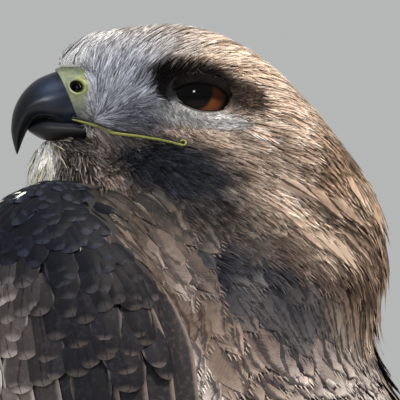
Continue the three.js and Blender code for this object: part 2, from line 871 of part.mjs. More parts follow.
let cere = cereRaw.subtract(forehead(GAP));
for (const s of [1, -1]) {
  const bore = new THREE.CylinderGeometry(1.75, 1.75, 12, 12);
  const sideways = new THREE.Quaternion().setFromUnitVectors(vector(0, 1, 0), leftOf);
  bore.applyQuaternion(sideways);
  const place = headPoint(33.4, 2.2, 12.5 * s);
  bore.translate(place.x, place.y, place.z);
  cere = cere.subtract(solid(bore));
}
pieces.set("cere", [largest(cere.subtract(billRoom)), "cere"]);
pieces.set("bill_upper", [billRaw, "bill"]);
pieces.set("bill_lower", [largest(lowerRaw.subtract(cereRoom).subtract(billRoom)), "bill"]);

const legsRoom = union([thigh(1, GAP), thigh(-1, GAP)]);
pieces.set("torso", [largest(trunkPiece.subtract(legsRoom)), "breast"]);
pieces.set("rump", [rump, "mantle"]);
const tailPiece = tail().subtract(torso(GAP));
pieces.set("tail", [largest(tailPiece), "tail"]);

for (const [side, s] of [["left", 1], ["right", -1]]) {
  pieces.set("eye_" + side, [eyeball(s), "eye"]);
  const folded = wing(s).subtract(cleared).subtract(napeRoom);
  pieces.set("wing_" + side, [largest(folded), "wing"]);
  const shankRoom = shank(s, GAP);
  pieces.set("thigh_" + side, [largest(thigh(s).subtract(shankRoom)), "thigh"]);
  const feet = foot(s);
  const footTop = halfSpace(vector(0, 0, 15), vector(0, 0, 1), 0);
  const footWhole = union([feet, shank(s).intersect(footTop)]);
  const shin = shank(s).subtract(halfSpace(vector(0, 0, 15), vector(0, 0, 1), GAP));
  pieces.set("shank_" + side, [largest(shin.subtract(foot(s))), "skin"]);
  let footSolid = footWhole;
  for (const toe of TOES) {
    const nail = claw(s, toe);
    const { points, radii } = toeLine(s, toe);
    const grown = rod(points, radii.map((r) => r + GAP), TOE_SIDES);
    const bare = largest(nail.subtract(grown));
    pieces.set("claw_" + toe[0] + "_" + side, [bare, "claw"]);
    footSolid = footSolid.subtract(bare);
  }
  pieces.set("foot_" + side, [largest(footSolid), "skin"]);
}

// The scene: one mesh for each piece

const hawk = new THREE.Group();
for (const [name, [made, finish]] of pieces) {
  const { numProp, vertProperties, triVerts } = made.getMesh();
  const geometry = new THREE.BufferGeometry();
  geometry.setAttribute("position", new THREE.BufferAttribute(vertProperties, numProp));
  geometry.setIndex(new THREE.BufferAttribute(triVerts, 1));
  geometry.computeVertexNormals();
  const material = new THREE.MeshStandardMaterial(FINISHES[finish]);
  const mesh = new THREE.Mesh(geometry, material);
  mesh.name = name;
  hawk.add(mesh);
}

// The origin lies on the floor under the middle of the model's box.
const extent = new THREE.Box3().setFromObject(hawk);
const middle = extent.getCenter(vector(0, 0, 0));
hawk.position.set(-middle.x, -middle.y, -extent.min.z);

export default hawk;
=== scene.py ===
"""A red-tailed hawk at rest: skin, plumage, bill, eyes, wings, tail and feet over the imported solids."""

import logging
import math
from contextlib import contextmanager
from dataclasses import dataclass
from enum import Enum
from typing import Any, Callable, Iterator, Sequence

import bmesh
import bpy
import numpy as np
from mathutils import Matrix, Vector
from mathutils.bvhtree import BVHTree
from mathutils.kdtree import KDTree
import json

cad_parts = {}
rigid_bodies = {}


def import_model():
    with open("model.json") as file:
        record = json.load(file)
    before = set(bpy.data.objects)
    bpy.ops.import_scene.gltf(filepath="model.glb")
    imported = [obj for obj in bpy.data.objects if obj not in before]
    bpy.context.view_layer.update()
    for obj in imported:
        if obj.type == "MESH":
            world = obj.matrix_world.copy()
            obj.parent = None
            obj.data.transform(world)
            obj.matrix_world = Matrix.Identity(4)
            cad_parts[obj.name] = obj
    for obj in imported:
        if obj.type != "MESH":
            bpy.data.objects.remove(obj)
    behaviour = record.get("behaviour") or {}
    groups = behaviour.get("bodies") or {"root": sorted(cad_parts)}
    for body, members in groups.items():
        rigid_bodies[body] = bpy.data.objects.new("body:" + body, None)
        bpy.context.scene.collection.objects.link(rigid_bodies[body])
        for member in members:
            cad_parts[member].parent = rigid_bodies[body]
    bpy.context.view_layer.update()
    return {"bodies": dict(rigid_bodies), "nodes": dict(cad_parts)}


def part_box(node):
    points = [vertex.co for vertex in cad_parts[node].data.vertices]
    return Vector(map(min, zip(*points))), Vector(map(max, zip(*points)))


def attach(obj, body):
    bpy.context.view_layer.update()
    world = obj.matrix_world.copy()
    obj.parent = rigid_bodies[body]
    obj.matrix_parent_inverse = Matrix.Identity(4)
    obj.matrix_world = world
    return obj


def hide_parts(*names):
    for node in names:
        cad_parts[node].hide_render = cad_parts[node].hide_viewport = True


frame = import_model()
LOG = logging.getLogger("hawk")
MM = 0.001
MERGE = 1e-6  # metres between points that count as one
BODY = next(iter(frame["bodies"]))
UP = np.array([0.0, 0.0, 1.0])
Array = np.ndarray
Material = bpy.types.Material
Mesh = bpy.types.Mesh
Object = bpy.types.Object


# Small tools


def linear(code: str) -> tuple[float, float, float]:
    """Turns an sRGB hex colour into linear light.

    Args:
        code: Six hex digits, with or without a leading hash.

    Returns:
        Red, green and blue from 0 to 1.
    """
    code = code.lstrip("#")
    parts = [int(code[i : i + 2], 16) / 255 for i in (0, 2, 4)]
    return tuple(c / 12.92 if c <= 0.04045 else ((c + 0.055) / 1.055) ** 2.4 for c in parts)


def rgba(code: str) -> tuple[float, float, float, float]:
    """Returns a hex colour in linear light with full opacity."""
    return (*linear(code), 1.0)


def fill(tree: Any, node: Any, links: dict[Any, Any]) -> None:
    """Sets or links a node's inputs.

    Args:
        tree: The node tree.
        node: The node.
        links: Values, output sockets, or nodes for their first one, by the input's name or index.
    """
    for key, value in links.items():
        value = value.outputs[0] if isinstance(value, bpy.types.Node) else value
        if isinstance(value, bpy.types.NodeSocket):
            tree.links.new(value, node.inputs[key])
        else:
            node.inputs[key].default_value = value


def add_node(tree: Any, kind: str, settings: dict[str, Any], links: dict[Any, Any]) -> Any:
    """Adds a node with its settings and its links.

    Args:
        tree: The node tree.
        kind: The node's type name.
        settings: Properties of the node by name.
        links: Values, output sockets, or nodes for their first one, by the input's name or index.

    Returns:
        The new node.
    """
    node = tree.nodes.new(kind)
    for name, value in settings.items():
        setattr(node, name, value)
    fill(tree, node, links)
    return node


def begin_finish(name: str) -> tuple[Material, Any, Any]:
    """Starts a material.

    Args:
        name: What the finish is.

    Returns:
        The material, its node tree and its shader.
    """
    mat = bpy.data.materials.new(name)
    mat.use_nodes = True
    return mat, mat.node_tree, mat.node_tree.nodes["Principled BSDF"]


def unit(v: Array) -> Array:
    """Returns vectors scaled to length one."""
    v = np.asarray(v, float)
    return v / np.maximum(np.linalg.norm(v, axis=-1, keepdims=True), 1e-12)


def fade(x: Array, low: float, high: float) -> Array:
    """Returns a smooth step from 0 at low to 1 at high."""
    t = np.clip((np.asarray(x, float) - low) / (high - low), 0, 1)
    return t * t * (3 - 2 * t)


def along(rows: Sequence[Sequence[float]], t: Array) -> Array:
    """Finds values on a smooth curve through rows of numbers.

    Args:
        rows: Equally spaced stations of the curve.
        t: Shares of the way along it, from 0 to 1.

    Returns:
        One row of values for each share.
    """
    table = np.asarray(rows, float)
    span = np.clip(np.asarray(t, float), 0, 1) * (len(table) - 1)
    i = np.minimum(span.astype(int), len(table) - 2)
    f = (span - i)[..., None]
    p, q = table[i], table[i + 1]
    before, after = table[np.maximum(i - 1, 0)], table[np.minimum(i + 2, len(table) - 1)]
    bend = 2 * before - 5 * p + 4 * q - after
    twist = 3 * p - before - 3 * q + after
    return p + 0.5 * f * (q - before + f * (bend + f * twist))


def tidy_object(name: str, mesh: Mesh) -> Object:
    """Puts a mesh in the scene as an object at the origin.

    Args:
        name: The object's name.
        mesh: Its mesh.

    Returns:
        The object.
    """
    made = bpy.data.objects.new(name.replace(" ", "_"), mesh)
    bpy.context.scene.collection.objects.link(made)
    return made


def build_mesh(name: str, points: Array, faces: Sequence[Sequence[int]]) -> Object:
    """Makes a smooth shaded object.

    Args:
        name: Its name.
        points: Places in metres.
        faces: Point indices for each face.

    Returns:
        The object.
    """
    mesh = bpy.data.meshes.new(name)
    mesh.from_pydata(np.asarray(points).tolist(), [], [list(map(int, f)) for f in faces])
    mesh.validate()
    mesh.shade_smooth()
    return tidy_object(name, mesh)


def grid_faces(rows: int, columns: int, closed: bool = False, start: int = 0) -> list[tuple]:
    """Lists the quads of a grid of points.

    Args:
        rows: Points along the grid.
        columns: Points across it.
        closed: Whether the last column joins the first.
        start: The index of its first point.

    Returns:
        Four point indices for each face.
    """
    span = columns if closed else columns - 1
    return [
        (
            start + i * columns + k,
            start + i * columns + (k + 1) % columns,
            start + (i + 1) * columns + (k + 1) % columns,
            start + (i + 1) * columns + k,
        )
        for i in range(rows - 1)
        for k in range(span)
    ]


def loft(name: str, rings: Array) -> Object:
    """Makes a closed body through rings of points.

    Args:
        name: The object's name.
        rings: Rings, points in a ring, and three coordinates in metres.

    Returns:
        The object, with its faces turned outwards.
    """
    count, sides = rings.shape[:2]
    points = np.concatenate([rings.reshape(-1, 3), rings[0].mean(0)[None], rings[-1].mean(0)[None]])
    faces: list[tuple] = grid_faces(count, sides, True)
    last = (count - 1) * sides
    for k in range(sides):
        nxt = (k + 1) % sides
        faces.append((len(points) - 2, nxt, k))
        faces.append((len(points) - 1, last + k, last + nxt))
    made = build_mesh(name, points, faces)
    turn_out(made)
    return made


@contextmanager
def edited(mesh: Mesh) -> Iterator[bmesh.types.BMesh]:
    """Opens a mesh for changes and then writes it back.

    Args:
        mesh: The mesh.

    Yields:
        The open mesh.
    """
    work = bmesh.new()
    work.from_mesh(mesh)
    yield work
    work.to_mesh(mesh)
    work.free()


def turn_out(obj: Object) -> None:
    """Turns the faces of a closed mesh outwards."""
    with edited(obj.data) as work:
        bmesh.ops.recalc_face_normals(work, faces=work.faces)


def read(items: Any, key: str, width: int, kind: type = np.float32) -> Array:
    """Reads a property of all points, edges, triangles or corners of a mesh.

    Args:
        items: What has the property.
        key: The property's name.
        width: How many numbers it has.
        kind: Their type.

    Returns:
        A row of numbers for each item.
    """
    values = np.zeros(len(items) * width, kind)
    items.foreach_get(key, values)
    return values.reshape(-1, width)


def store(mesh: Mesh, name: str, kind: str, values: Array) -> None:
    """Stores an attribute of a mesh's points.

    Args:
        mesh: The mesh.
        name: The attribute's name.
        kind: Its type, as Blender names it.
        values: A value or a row of them for each point.
    """
    key = {"FLOAT_VECTOR": "vector", "FLOAT_COLOR": "color"}.get(kind, "value")
    number = np.int32 if kind == "INT" else np.float32
    layer = mesh.attributes.new(name, kind, "POINT")
    layer.data.foreach_set(key, np.asarray(values).astype(number).ravel())


def tube(name: str, line: Array, radii: Array, sides: int = 12) -> Object:
    """Makes a round tube along a line.

    Args:
        name: The object's name.
        line: Points in metres.
        radii: The radius at each in metres.
        sides: Points round it.

    Returns:
        The tube.
    """
    ahead = unit(np.gradient(line, axis=0))
    aside = np.where(np.abs(ahead[:, 2:3]) > 0.9, [[0.0, 1.0, 0.0]], [[0.0, 0.0, 1.0]])
    side = unit(np.cross(ahead, aside))
    up = np.cross(side, ahead)
    angle = np.linspace(0, 2 * math.pi, sides, endpoint=False)
    ring = side[:, None] * np.cos(angle)[None, :, None] + up[:, None] * np.sin(angle)[None, :, None]
    return loft(name, line[:, None] + ring * np.asarray(radii)[:, None, None])


def colour_layer(obj: Object, name: str, colours: Array) -> None:
    """Stores a linear colour for each point of a mesh."""
    store(obj.data, name, "FLOAT_COLOR", np.insert(colours, 3, 1.0, axis=1))


def plain_paint(obj: Object, code: str) -> None:
    """Paints all of a mesh in one hex colour."""
    colour_layer(obj, "paint", np.tile(np.array(linear(code)), (len(obj.data.vertices), 1)))


def painted_over(paint: Array, code: str, weight: Array) -> Array:
    """Mixes a hex colour into linear ones, by a weight for each point."""
    w = weight[:, None]
    return paint * (1 - w) + np.array(linear(code)) * w


def coordinates(obj: Object) -> Array:
    """Returns the points of a mesh."""
    return read(obj.data.vertices, "co", 3).astype(float)


def applied(obj: Object) -> Object:
    """Bakes an object's modifiers into its mesh.

    Args:
        obj: The object.

    Returns:
        The same object.
    """
    graph = bpy.context.evaluated_depsgraph_get()
    mesh = bpy.data.meshes.new_from_object(obj.evaluated_get(graph))
    obj.modifiers.clear()
    obj.data = mesh
    return obj


def finish_piece(obj: Object, material: Material) -> None:
    """Gives a piece its material and its body.

    Args:
        obj: The piece.
        material: Its finish.
    """
    obj.data.materials.clear()
    obj.data.materials.append(material)
    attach(obj, BODY)
    LOG.info("%s: %d faces", obj.name, len(obj.data.polygons))


def joined_nodes(name: str, nodes: Sequence[str]) -> Object:
    """Copies CAD nodes into one merged mesh.

    Args:
        name: The copy's name.
        nodes: The nodes' names.

    Returns:
        The copy.
    """
    made = tidy_object(name, bpy.data.meshes.new(name))
    with edited(made.data) as work:
        for node in nodes:
            work.from_mesh(frame["nodes"][node].data)
        bmesh.ops.remove_doubles(work, verts=work.verts, dist=MERGE)
    return made


def remeshed(
    name: str, nodes: Sequence[str], voxel: float, smooth: int, inset: float, seam: float = 0.0
) -> Object:
    """Makes one rounded surface from CAD nodes.

    Args:
        name: The object's name.
        nodes: The nodes that it stands for.
        voxel: The size of its faces in mm.
        smooth: How many times it is smoothed.
        inset: How far in mm it lies inside the nodes.
        seam: How far in mm the nodes are grown first, so that the gaps between them close.

    Returns:
        The object.
    """
    made = joined_nodes(name, nodes)
    if seam:
        closer = made.modifiers.new("close the seams", "DISPLACE")
        closer.strength, closer.mid_level = seam * MM, 0.0
    mesher = made.modifiers.new("remesh", "REMESH")
    mesher.mode, mesher.voxel_size = "VOXEL", voxel * MM
    if smooth:
        smoother = made.modifiers.new("smooth", "SMOOTH")
        smoother.factor, smoother.iterations = 0.5, smooth
    if inset + seam:
        mover = made.modifiers.new("inset", "DISPLACE")
        mover.strength, mover.mid_level = -(inset + seam) * MM, 0.0
    applied(made).data.shade_smooth()
    return made


# Places on the bird


class Side(Enum):
    """A side of the bird; the left one is +X."""

    LEFT = 1
    RIGHT = -1

    @property
    def label(self) -> str:
        """Returns the side's word in the names of nodes."""
        return self.name.lower()


@dataclass(frozen=True)
class HeadFrame:
    """The head's own directions, measured from the two eye nodes."""

    centre: Array
    ahead: Array
    left: Array

    @staticmethod
    def measured() -> "HeadFrame":
        """Finds the head from the boxes of its eyes.

        Returns:
            The head's frame.
        """
        lo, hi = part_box("eye_left")
        left_eye = np.array((lo + hi) / 2)
        lo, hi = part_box("eye_right")
        right_eye = np.array((lo + hi) / 2)
        left = unit(left_eye - right_eye)
        ahead = np.array([left[1], -left[0], 0.0])
        return HeadFrame((left_eye + right_eye) / 2, ahead, left)

    def point(self, forward: Array, height: Array, lateral: Array = 0.0) -> Array:
        """Finds places from the eyes.

        Args:
            forward: How far forward in mm.
            height: How far up in mm.
            lateral: How far out to the left in mm.

        Returns:
            Places in metres.
        """
        forward, height, lateral = np.broadcast_arrays(forward, height, lateral)
        offset = forward[..., None] * self.ahead + lateral[..., None] * self.left
        offset = offset + height[..., None] * UP
        return self.centre + offset * MM

    def local(self, points: Array) -> tuple[Array, Array, Array]:
        """Returns mm forward, above and to the left of the eyes for places in metres."""
        rel = (points - self.centre) / MM
        return rel @ self.ahead, rel[..., 2], rel @ self.left


HEAD = HeadFrame.measured()
SOURCE_CENTRE = np.array([3.0, -32.0, 355.0])
SHIFT = HEAD.centre / MM - SOURCE_CENTRE  # from the part's own numbers to the scene's, in mm


def part_place(points: Array) -> Array:
    """Returns x, y and z in mm, in the part's own numbers, for places in metres."""
    return np.moveaxis(points / MM - SHIFT, -1, 0)


@dataclass(frozen=True)
class WingForm:
    """The folded wing's outer face, from the wrist to the tip, in the same stations as the solids.

    A station holds y, z, half width, reach behind and before, the angles of its edges, and thickness.
    """

    stations: tuple = (
        (-42, 317, 62, 40, 44, 84, 98, 2),
        (-43, 309, 61, 43, 46, 70, 122, 13),
        (-42, 294, 62, 45, 48, 56, 136, 20),
        (-38, 274, 65, 49, 52, 54, 138, 19),
        (-27, 248, 65, 54, 56, 59, 136, 16),
        (-8, 218, 63, 56, 55, 51, 131, 13),
        (16, 188, 57, 52, 49, 40, 124, 11),
        (46, 158, 47, 42, 36, 26, 114, 9.5),
        (80, 131, 36, 30, 22, 18, 102, 8),
        (118, 104, 27, 20, 14, 14, 90, 6.6),
        (158, 78, 21, 16, 10, 12, 76, 5.2),
        (196, 55, 17, 14, 8, 14, 60, 4),
        (226, 38, 14, 13, 7, 20, 44, 3),
    )
    raise_left: float = 14.0
    raise_fade: float = 0.42
    tuck_right: float = 9.0

    def place(self, side: Side, t: Array, across: Array, out: Array) -> Array:
        """Finds places on or over the wing's outer face.

        Args:
            side: Which wing.
            t: Shares of the wing's length.
            across: Shares of its breadth, from the upper edge.
            out: Distances outwards in mm.

        Returns:
            Places in metres.
        """
        t, across, out = np.broadcast_arrays(*(np.asarray(v, float) for v in (t, across, out)))
        row = along(self.stations, t)
        ends = along(self.stations, t + 0.01)[..., :2] - along(self.stations, t - 0.01)[..., :2]
        axis = unit(np.stack([np.zeros_like(t), ends[..., 0], ends[..., 1]], -1))
        up = np.stack([np.zeros_like(t), -axis[..., 2], axis[..., 1]], -1)
        share = fade(self.raise_fade - t, 0, self.raise_fade)
        y, z, width, back, belly, top, low, thick = np.moveaxis(row, -1, 0)
        angle = np.radians(top + (low - top) * across)
        bulge = np.sqrt(np.clip(1 - (2 * across - 1) ** 2, 0, None))
        tuck = 0 if side is Side.LEFT else self.tuck_right * share
        reach = np.maximum(thick * (0.25 + 0.75 * bulge) - tuck, 1) + out
        depth = np.where(np.cos(angle) > 0, back, belly)
        lift = self.raise_left * share if side is Side.LEFT else 0 * share
        base = np.stack([np.zeros_like(t), y, z + lift], -1)
        base[..., 0] += side.value * np.sin(angle) * (width + reach)
        base += up * (np.cos(angle) * (depth + reach))[..., None]
        return (base + SHIFT) * MM

    def breadth(self, side: Side, t: Array) -> Array:
        """Returns the wing's breadth in mm at shares of its length."""
        edge = self.place(side, t, 0, -2) - self.place(side, t, 1, -2)
        return np.linalg.norm(edge, axis=-1) / MM


WING = WingForm()


# Markings


def mantle_line(forward: Array) -> Array:
    """Returns the height in mm, from the eyes, where the head's feathers end and the mantle's begin."""
    return np.interp(forward, [-50, -40, -34, -26, -12, 6, 24], [-48, -42, -35, -31, -24, -27, -33])


@dataclass(frozen=True)
class Tint:
    """The colours of a feather: middle, rim and shaft, with how wide the dark of the shaft runs."""

    middle: str
    rim: str
    shaft: str
    streak: float = 0.07

    def values(self) -> Array:
        """Returns the three colours in linear light, and a fourth row that holds the streak's share."""
        return np.array([linear(self.middle), linear(self.rim), linear(self.shaft), (self.streak,) * 3])


@dataclass(frozen=True)
class Patch:
    """A soft oval of plumage in a pair of coordinates in mm."""

    centre: tuple[float, float]
    radii: tuple[float, float]
    tint: Tint
    tilt: float = 0.0
    soft: float = 0.45
    strength: float = 1.0

    def weight(self, x: Array, y: Array) -> Array:
        """Finds how much of the patch shows.

        Args:
            x: First coordinate in mm.
            y: Second coordinate in mm.

        Returns:
            Shares from 0 to 1.
        """
        angle = math.radians(self.tilt)
        dx, dy = x - self.centre[0], y - self.centre[1]
        u = (dx * math.cos(angle) + dy * math.sin(angle)) / self.radii[0]
        v = (-dx * math.sin(angle) + dy * math.cos(angle)) / self.radii[1]
        return self.strength * (1 - fade(np.hypot(u, v), 1 - self.soft, 1 + self.soft))


FACE_BASE = Tint("#a28c7c", "#eddccd", "#33281f", 0.1)
FACE = (
    Patch((-4, 14), (38, 10), Tint("#d6bda6", "#fff3e6", "#54443a", 0.08)),
    Patch((14, 15), (13, 6), Tint("#a8a19c", "#f0ebe6", "#3d3834", 0.12), 10),
    Patch((33, 11), (11, 9), Tint("#f2f2f2", "#ffffff", "#2c2c32", 0.1), 0, 0.35),
    Patch((21, 2), (13, 12), Tint("#a4a9b6", "#e6e9f1", "#565865", 0.1)),
    Patch((16, -6), (9, 4.6), Tint("#45454e", "#777883", "#2a2a32"), -12, 0.5, 0.85),
    Patch((-40, -44), (12, 20), Tint("#44362e", "#9c8270", "#241b17", 0.2), 25, 0.5, 0.95),
    Patch((-36, -12), (8, 18), Tint("#665245", "#c2a78f", "#2b201a", 0.2), 25, 0.5, 0.9),
    Patch((-31, -40), (8, 3.5), Tint("#c4b09f", "#efe2d4", "#6d5546", 0.06), -20, 0.5, 0.75),
    Patch((8, -36), (30, 9), Tint("#2a2625", "#6f645c", "#191718", 0.12), 3, 0.4, 0.95),
    # Dark slate below the gape: partly the malar's own dark brown, partly painted shade.
    Patch((8, -20.5), (19, 9.5), Tint("#15171d", "#3d404a", "#0d0e13"), 14, 0.5),
    Patch((34, -24), (8, 13), Tint("#2f2a28", "#a79d95", "#1a1615", 0.14)),
    Patch((44.5, -21), (6.4, 13), Tint("#e2dfd9", "#ffffff", "#a39f98"), 0, 0.2),
    # Near black above the eye: partly the hawk's dark eye-line, partly painted shadow under the brow.
    Patch((2.5, 4.0), (14, 4.6), Tint("#0c0a0a", "#1d1816", "#080606"), 9, 0.3),
    # Painted shade: the eye's front corner is darkened to black.
    Patch((9.5, 1.2), (4.5, 2.6), Tint("#0f0d0e", "#262122", "#0a0808"), 15, 0.4),
    Patch((-12, -1), (6, 4), Tint("#2f2622", "#6b5a4e", "#1f1815"), 25),
    Patch((0, -6.2), (12, 2.6), Tint("#a3a2a2", "#e2e1df", "#6b6968"), 10, 0.35),
)
BACK_BASE = Tint("#4a3f3a", "#74665d", "#2a2224", 0.1)
MANTLE = (
    Patch((0, -35), (14, 6.5), Tint("#33302f", "#5c524c", "#201e20", 0.1)),
    # Bluish slate on the mantle: the feathers' own dark brown with painted shade in it.
    Patch((14, -52), (22, 9.5), Tint("#24262e", "#4c4a4d", "#16171d", 0.06), -26, 0.25),
    Patch((-12, -47), (10, 3.4), Tint("#5a504e", "#938a86", "#332c2d", 0.1), -56, 0.35),
    Patch((6, -66), (15, 7), Tint("#5f5049", "#94857d", "#2b2427", 0.14), -15, 0.4),
    Patch((24, -68), (12, 6), Tint("#5a5051", "#aaa09b", "#202026", 0.22), -30, 0.4),
    Patch((-5, -73), (7, 9), Tint("#8a8584", "#d6d2d1", "#3a363a", 0.1), 10, 0.35),
    Patch((38, -72), (10, 13), Tint("#857c79", "#cac4c1", "#2c262b", 0.16), 0, 0.4),
    Patch((16, -82), (30, 9), Tint("#736863", "#b5aaa3", "#2c2629", 0.18), -6, 0.4),
)


def blended(base: Tint, patches: Sequence[Patch], x: Array, y: Array) -> Array:
    """Mixes patches over a base.

    Args:
        base: The tint where no patch lies.
        patches: Patches from the lowest to the uppermost.
        x: First coordinate in mm.
        y: Second coordinate in mm.

    Returns:
        For each place its middle, rim and shaft colours and its streak.
    """
    made = np.broadcast_to(base.values(), (*np.shape(x), 4, 3)).copy()
    for patch in patches:
        w = patch.weight(x, y)[..., None, None]
        made = made * (1 - w) + patch.tint.values() * w
    return made


def mixed(one: Array, other: Array, weight: Array) -> Array:
    """Mixes two sets of three colours by a weight for each place."""
    w = np.asarray(weight)[..., None, None]
    return one * (1 - w) + other * w


class Markings:
    """The colours of the plumage all over the bird."""

    VIEW_TURN = math.radians(30)  # how far the mantle's fan is turned from the middle plane
    BREAST = Tint("#dccfbe", "#f3ebdf", "#8a6f55", 0.05)
    STREAK = Tint("#9c8066", "#e0cfba", "#3b2a20", 0.26)
    THIGH = Tint("#cdb08a", "#e6d3b4", "#a98a66", 0.04)
    RUMP = Tint("#4c3c33", "#8f7765", "#2a1f1a", 0.12)
    FLANK = (  # heights in mm, and how far back the body's middle line lies there
        (100, 130, 148, 176, 206, 238, 268, 292, 314),
        (118, 80, 50, 23, -1, -22, -37, -52, -62),
    )

    def fan(self, points: Array) -> tuple[Array, Array]:
        """Finds places on the mantle's fan, which is the same on both sides.

        Args:
            points: Places in metres.

        Returns:
            How far along it and above the eyes they are, in mm.
        """
        rel = points / MM - SHIFT - np.array([23.0, -18.0, 355.0])
        x = np.abs(rel[..., 0] + 23.0) - 23.0
        run = -math.sin(self.VIEW_TURN) * x + math.cos(self.VIEW_TURN) * rel[..., 1]
        return run, rel[..., 2]

    def at(self, points: Array) -> Array:
        """Finds the plumage's colours.

        Args:
            points: Places in metres.

        Returns:
            For each place its middle, rim and shaft colours and its streak.
        """
        forward, height, _ = HEAD.local(points)
        run, rise = self.fan(points)
        _, y, z = part_place(points)
        face = blended(FACE_BASE, FACE, forward, height)
        back = blended(BACK_BASE, MANTLE, run, rise)
        back = mixed(back, self.RUMP.values(), 0.9 * fade(262 - z, 0, 30))
        band = fade(z, 165, 185) * (1 - fade(z, 215, 240))
        streaked = np.clip(0.8 * band + 0.8 * fade(z, 262, 286), 0, 1)
        front = mixed(self.BREAST.values(), self.STREAK.values(), streaked)
        body = mixed(front, back, fade(y - np.interp(z, *self.FLANK), -26, -8))
        body = mixed(body, self.THIGH.values(), fade(178 - z, 0, 22) * (1 - fade(y, 40, 60)))
        return mixed(body, face, fade(height - mantle_line(forward), -13, -7))


MARKINGS = Markings()


# Finishes


@dataclass(frozen=True)
class FeatherKeratin:
    """Feather vanes: matt keratin barbs on a stiff shaft, which scatter light softly and hardly shine."""

    name: str = "feather keratin"
    barb_spacing: float = 0.6  # mm; real barbs are finer, but no finer ones show at this size
    barb_depth: float = 0.12
    roughness: float = 0.6
    rim_start: float = 0.45
    tip_start: float = 0.72
    length: float = 14.0  # mm of a typical feather of the coat
    specular: float = 0.18

    def build(self) -> Material:
        """Makes the material.

        Returns:
            The material.
        """
        mat, tree, shader = begin_finish(self.name)
        middle, rim, shaft, streak, place = (
            add_node(tree, "ShaderNodeAttribute", {"attribute_name": n}, {})
            for n in ("middle", "rim", "shaft", "streak", "vane")
        )
        split = add_node(tree, "ShaderNodeSeparateXYZ", {}, {0: place.outputs["Vector"]})
        side = add_node(tree, "ShaderNodeMath", {"operation": "ABSOLUTE"}, {0: split})
        object_place = add_node(tree, "ShaderNodeTexCoord", {}, {})
        mottle = add_node(
            tree, "ShaderNodeTexNoise", {},
            {"Vector": object_place.outputs["Object"], "Scale": 700.0, "Detail": 3.0},
        )
        edge = add_node(
            tree, "ShaderNodeMapRange", {"interpolation_type": "SMOOTHSTEP"},
            {0: side, 1: self.rim_start * 0.5, 2: 0.5, 3: 0.0, 4: 1.0},
        )
        tip = add_node(
            tree, "ShaderNodeMapRange", {"interpolation_type": "SMOOTHSTEP"},
            {0: split.outputs[1], 1: self.tip_start, 2: 0.99, 3: 0.0, 4: 1.0},
        )
        outer = add_node(tree, "ShaderNodeMath", {"operation": "MAXIMUM"}, {0: edge, 1: tip})
        ragged = add_node(
            tree, "ShaderNodeMath", {"operation": "MULTIPLY_ADD"}, {0: mottle, 1: 0.7, 2: -0.35}
        )
        amount = add_node(
            tree, "ShaderNodeMath", {"operation": "ADD", "use_clamp": True}, {0: outer, 1: ragged}
        )
        two = add_node(
            tree, "ShaderNodeMix", {"data_type": "RGBA"},
            {0: amount, 6: middle.outputs["Color"], 7: rim.outputs["Color"]},
        )
        taper = add_node(tree, "ShaderNodeMath", {"operation": "SUBTRACT"}, {0: 1.12, 1: split.outputs[1]})
        reach = add_node(
            tree, "ShaderNodeMath", {"operation": "MULTIPLY"}, {0: taper, 1: streak.outputs["Fac"]}
        )
        beyond = add_node(tree, "ShaderNodeMath", {"operation": "SUBTRACT"}, {0: side, 1: reach})
        wavy = add_node(
            tree, "ShaderNodeMath", {"operation": "MULTIPLY_ADD"}, {0: ragged, 1: 0.14, 2: beyond}
        )
        line = add_node(
            tree, "ShaderNodeMapRange", {"interpolation_type": "SMOOTHSTEP"},
            {0: wavy, 1: -0.03, 2: 0.035, 3: 0.92, 4: 0.0},
        )
        three = add_node(
            tree, "ShaderNodeMix", {"data_type": "RGBA"},
            {0: line, 6: two.outputs[2], 7: shaft.outputs["Color"]},
        )
        slant = add_node(
            tree, "ShaderNodeMath", {"operation": "MULTIPLY_ADD"}, {0: side, 1: -0.6, 2: split.outputs[1]}
        )
        turns = add_node(
            tree, "ShaderNodeMath", {"operation": "MULTIPLY"},
            {0: slant, 1: 2 * math.pi * self.length / self.barb_spacing},
        )
        barbs = add_node(tree, "ShaderNodeMath", {"operation": "SINE"}, {0: turns})
        shade = add_node(
            tree, "ShaderNodeMapRange", {},
            {0: barbs, 1: -1.0, 2: 1.0, 3: 1 - self.barb_depth, 4: 1 + self.barb_depth},
        )
        four = add_node(
            tree, "ShaderNodeMix", {"data_type": "RGBA", "blend_type": "MULTIPLY"},
            {0: 1.0, 6: three.outputs[2], 7: shade},
        )
        bump = add_node(
            tree, "ShaderNodeBump", {}, {"Strength": 0.15, "Distance": 0.0002, "Height": barbs}
        )
        fill(tree, shader, {
            "Base Color": four.outputs[2], "Normal": bump,
            "Roughness": self.roughness, "Specular IOR Level": self.specular,
        })
        return mat


@dataclass(frozen=True)
class BareSkin:
    """The skin under the feathers, in the markings' own colours; matt, as down covers it."""

    name: str = "down-covered skin"

    def build(self) -> Material:
        """Makes the material.

        Returns:
            The material.
        """
        mat, tree, shader = begin_finish(self.name)
        paint = add_node(tree, "ShaderNodeAttribute", {"attribute_name": "paint"}, {})
        fill(tree, shader, {"Base Color": paint.outputs["Color"], "Roughness": 0.9})
        return mat


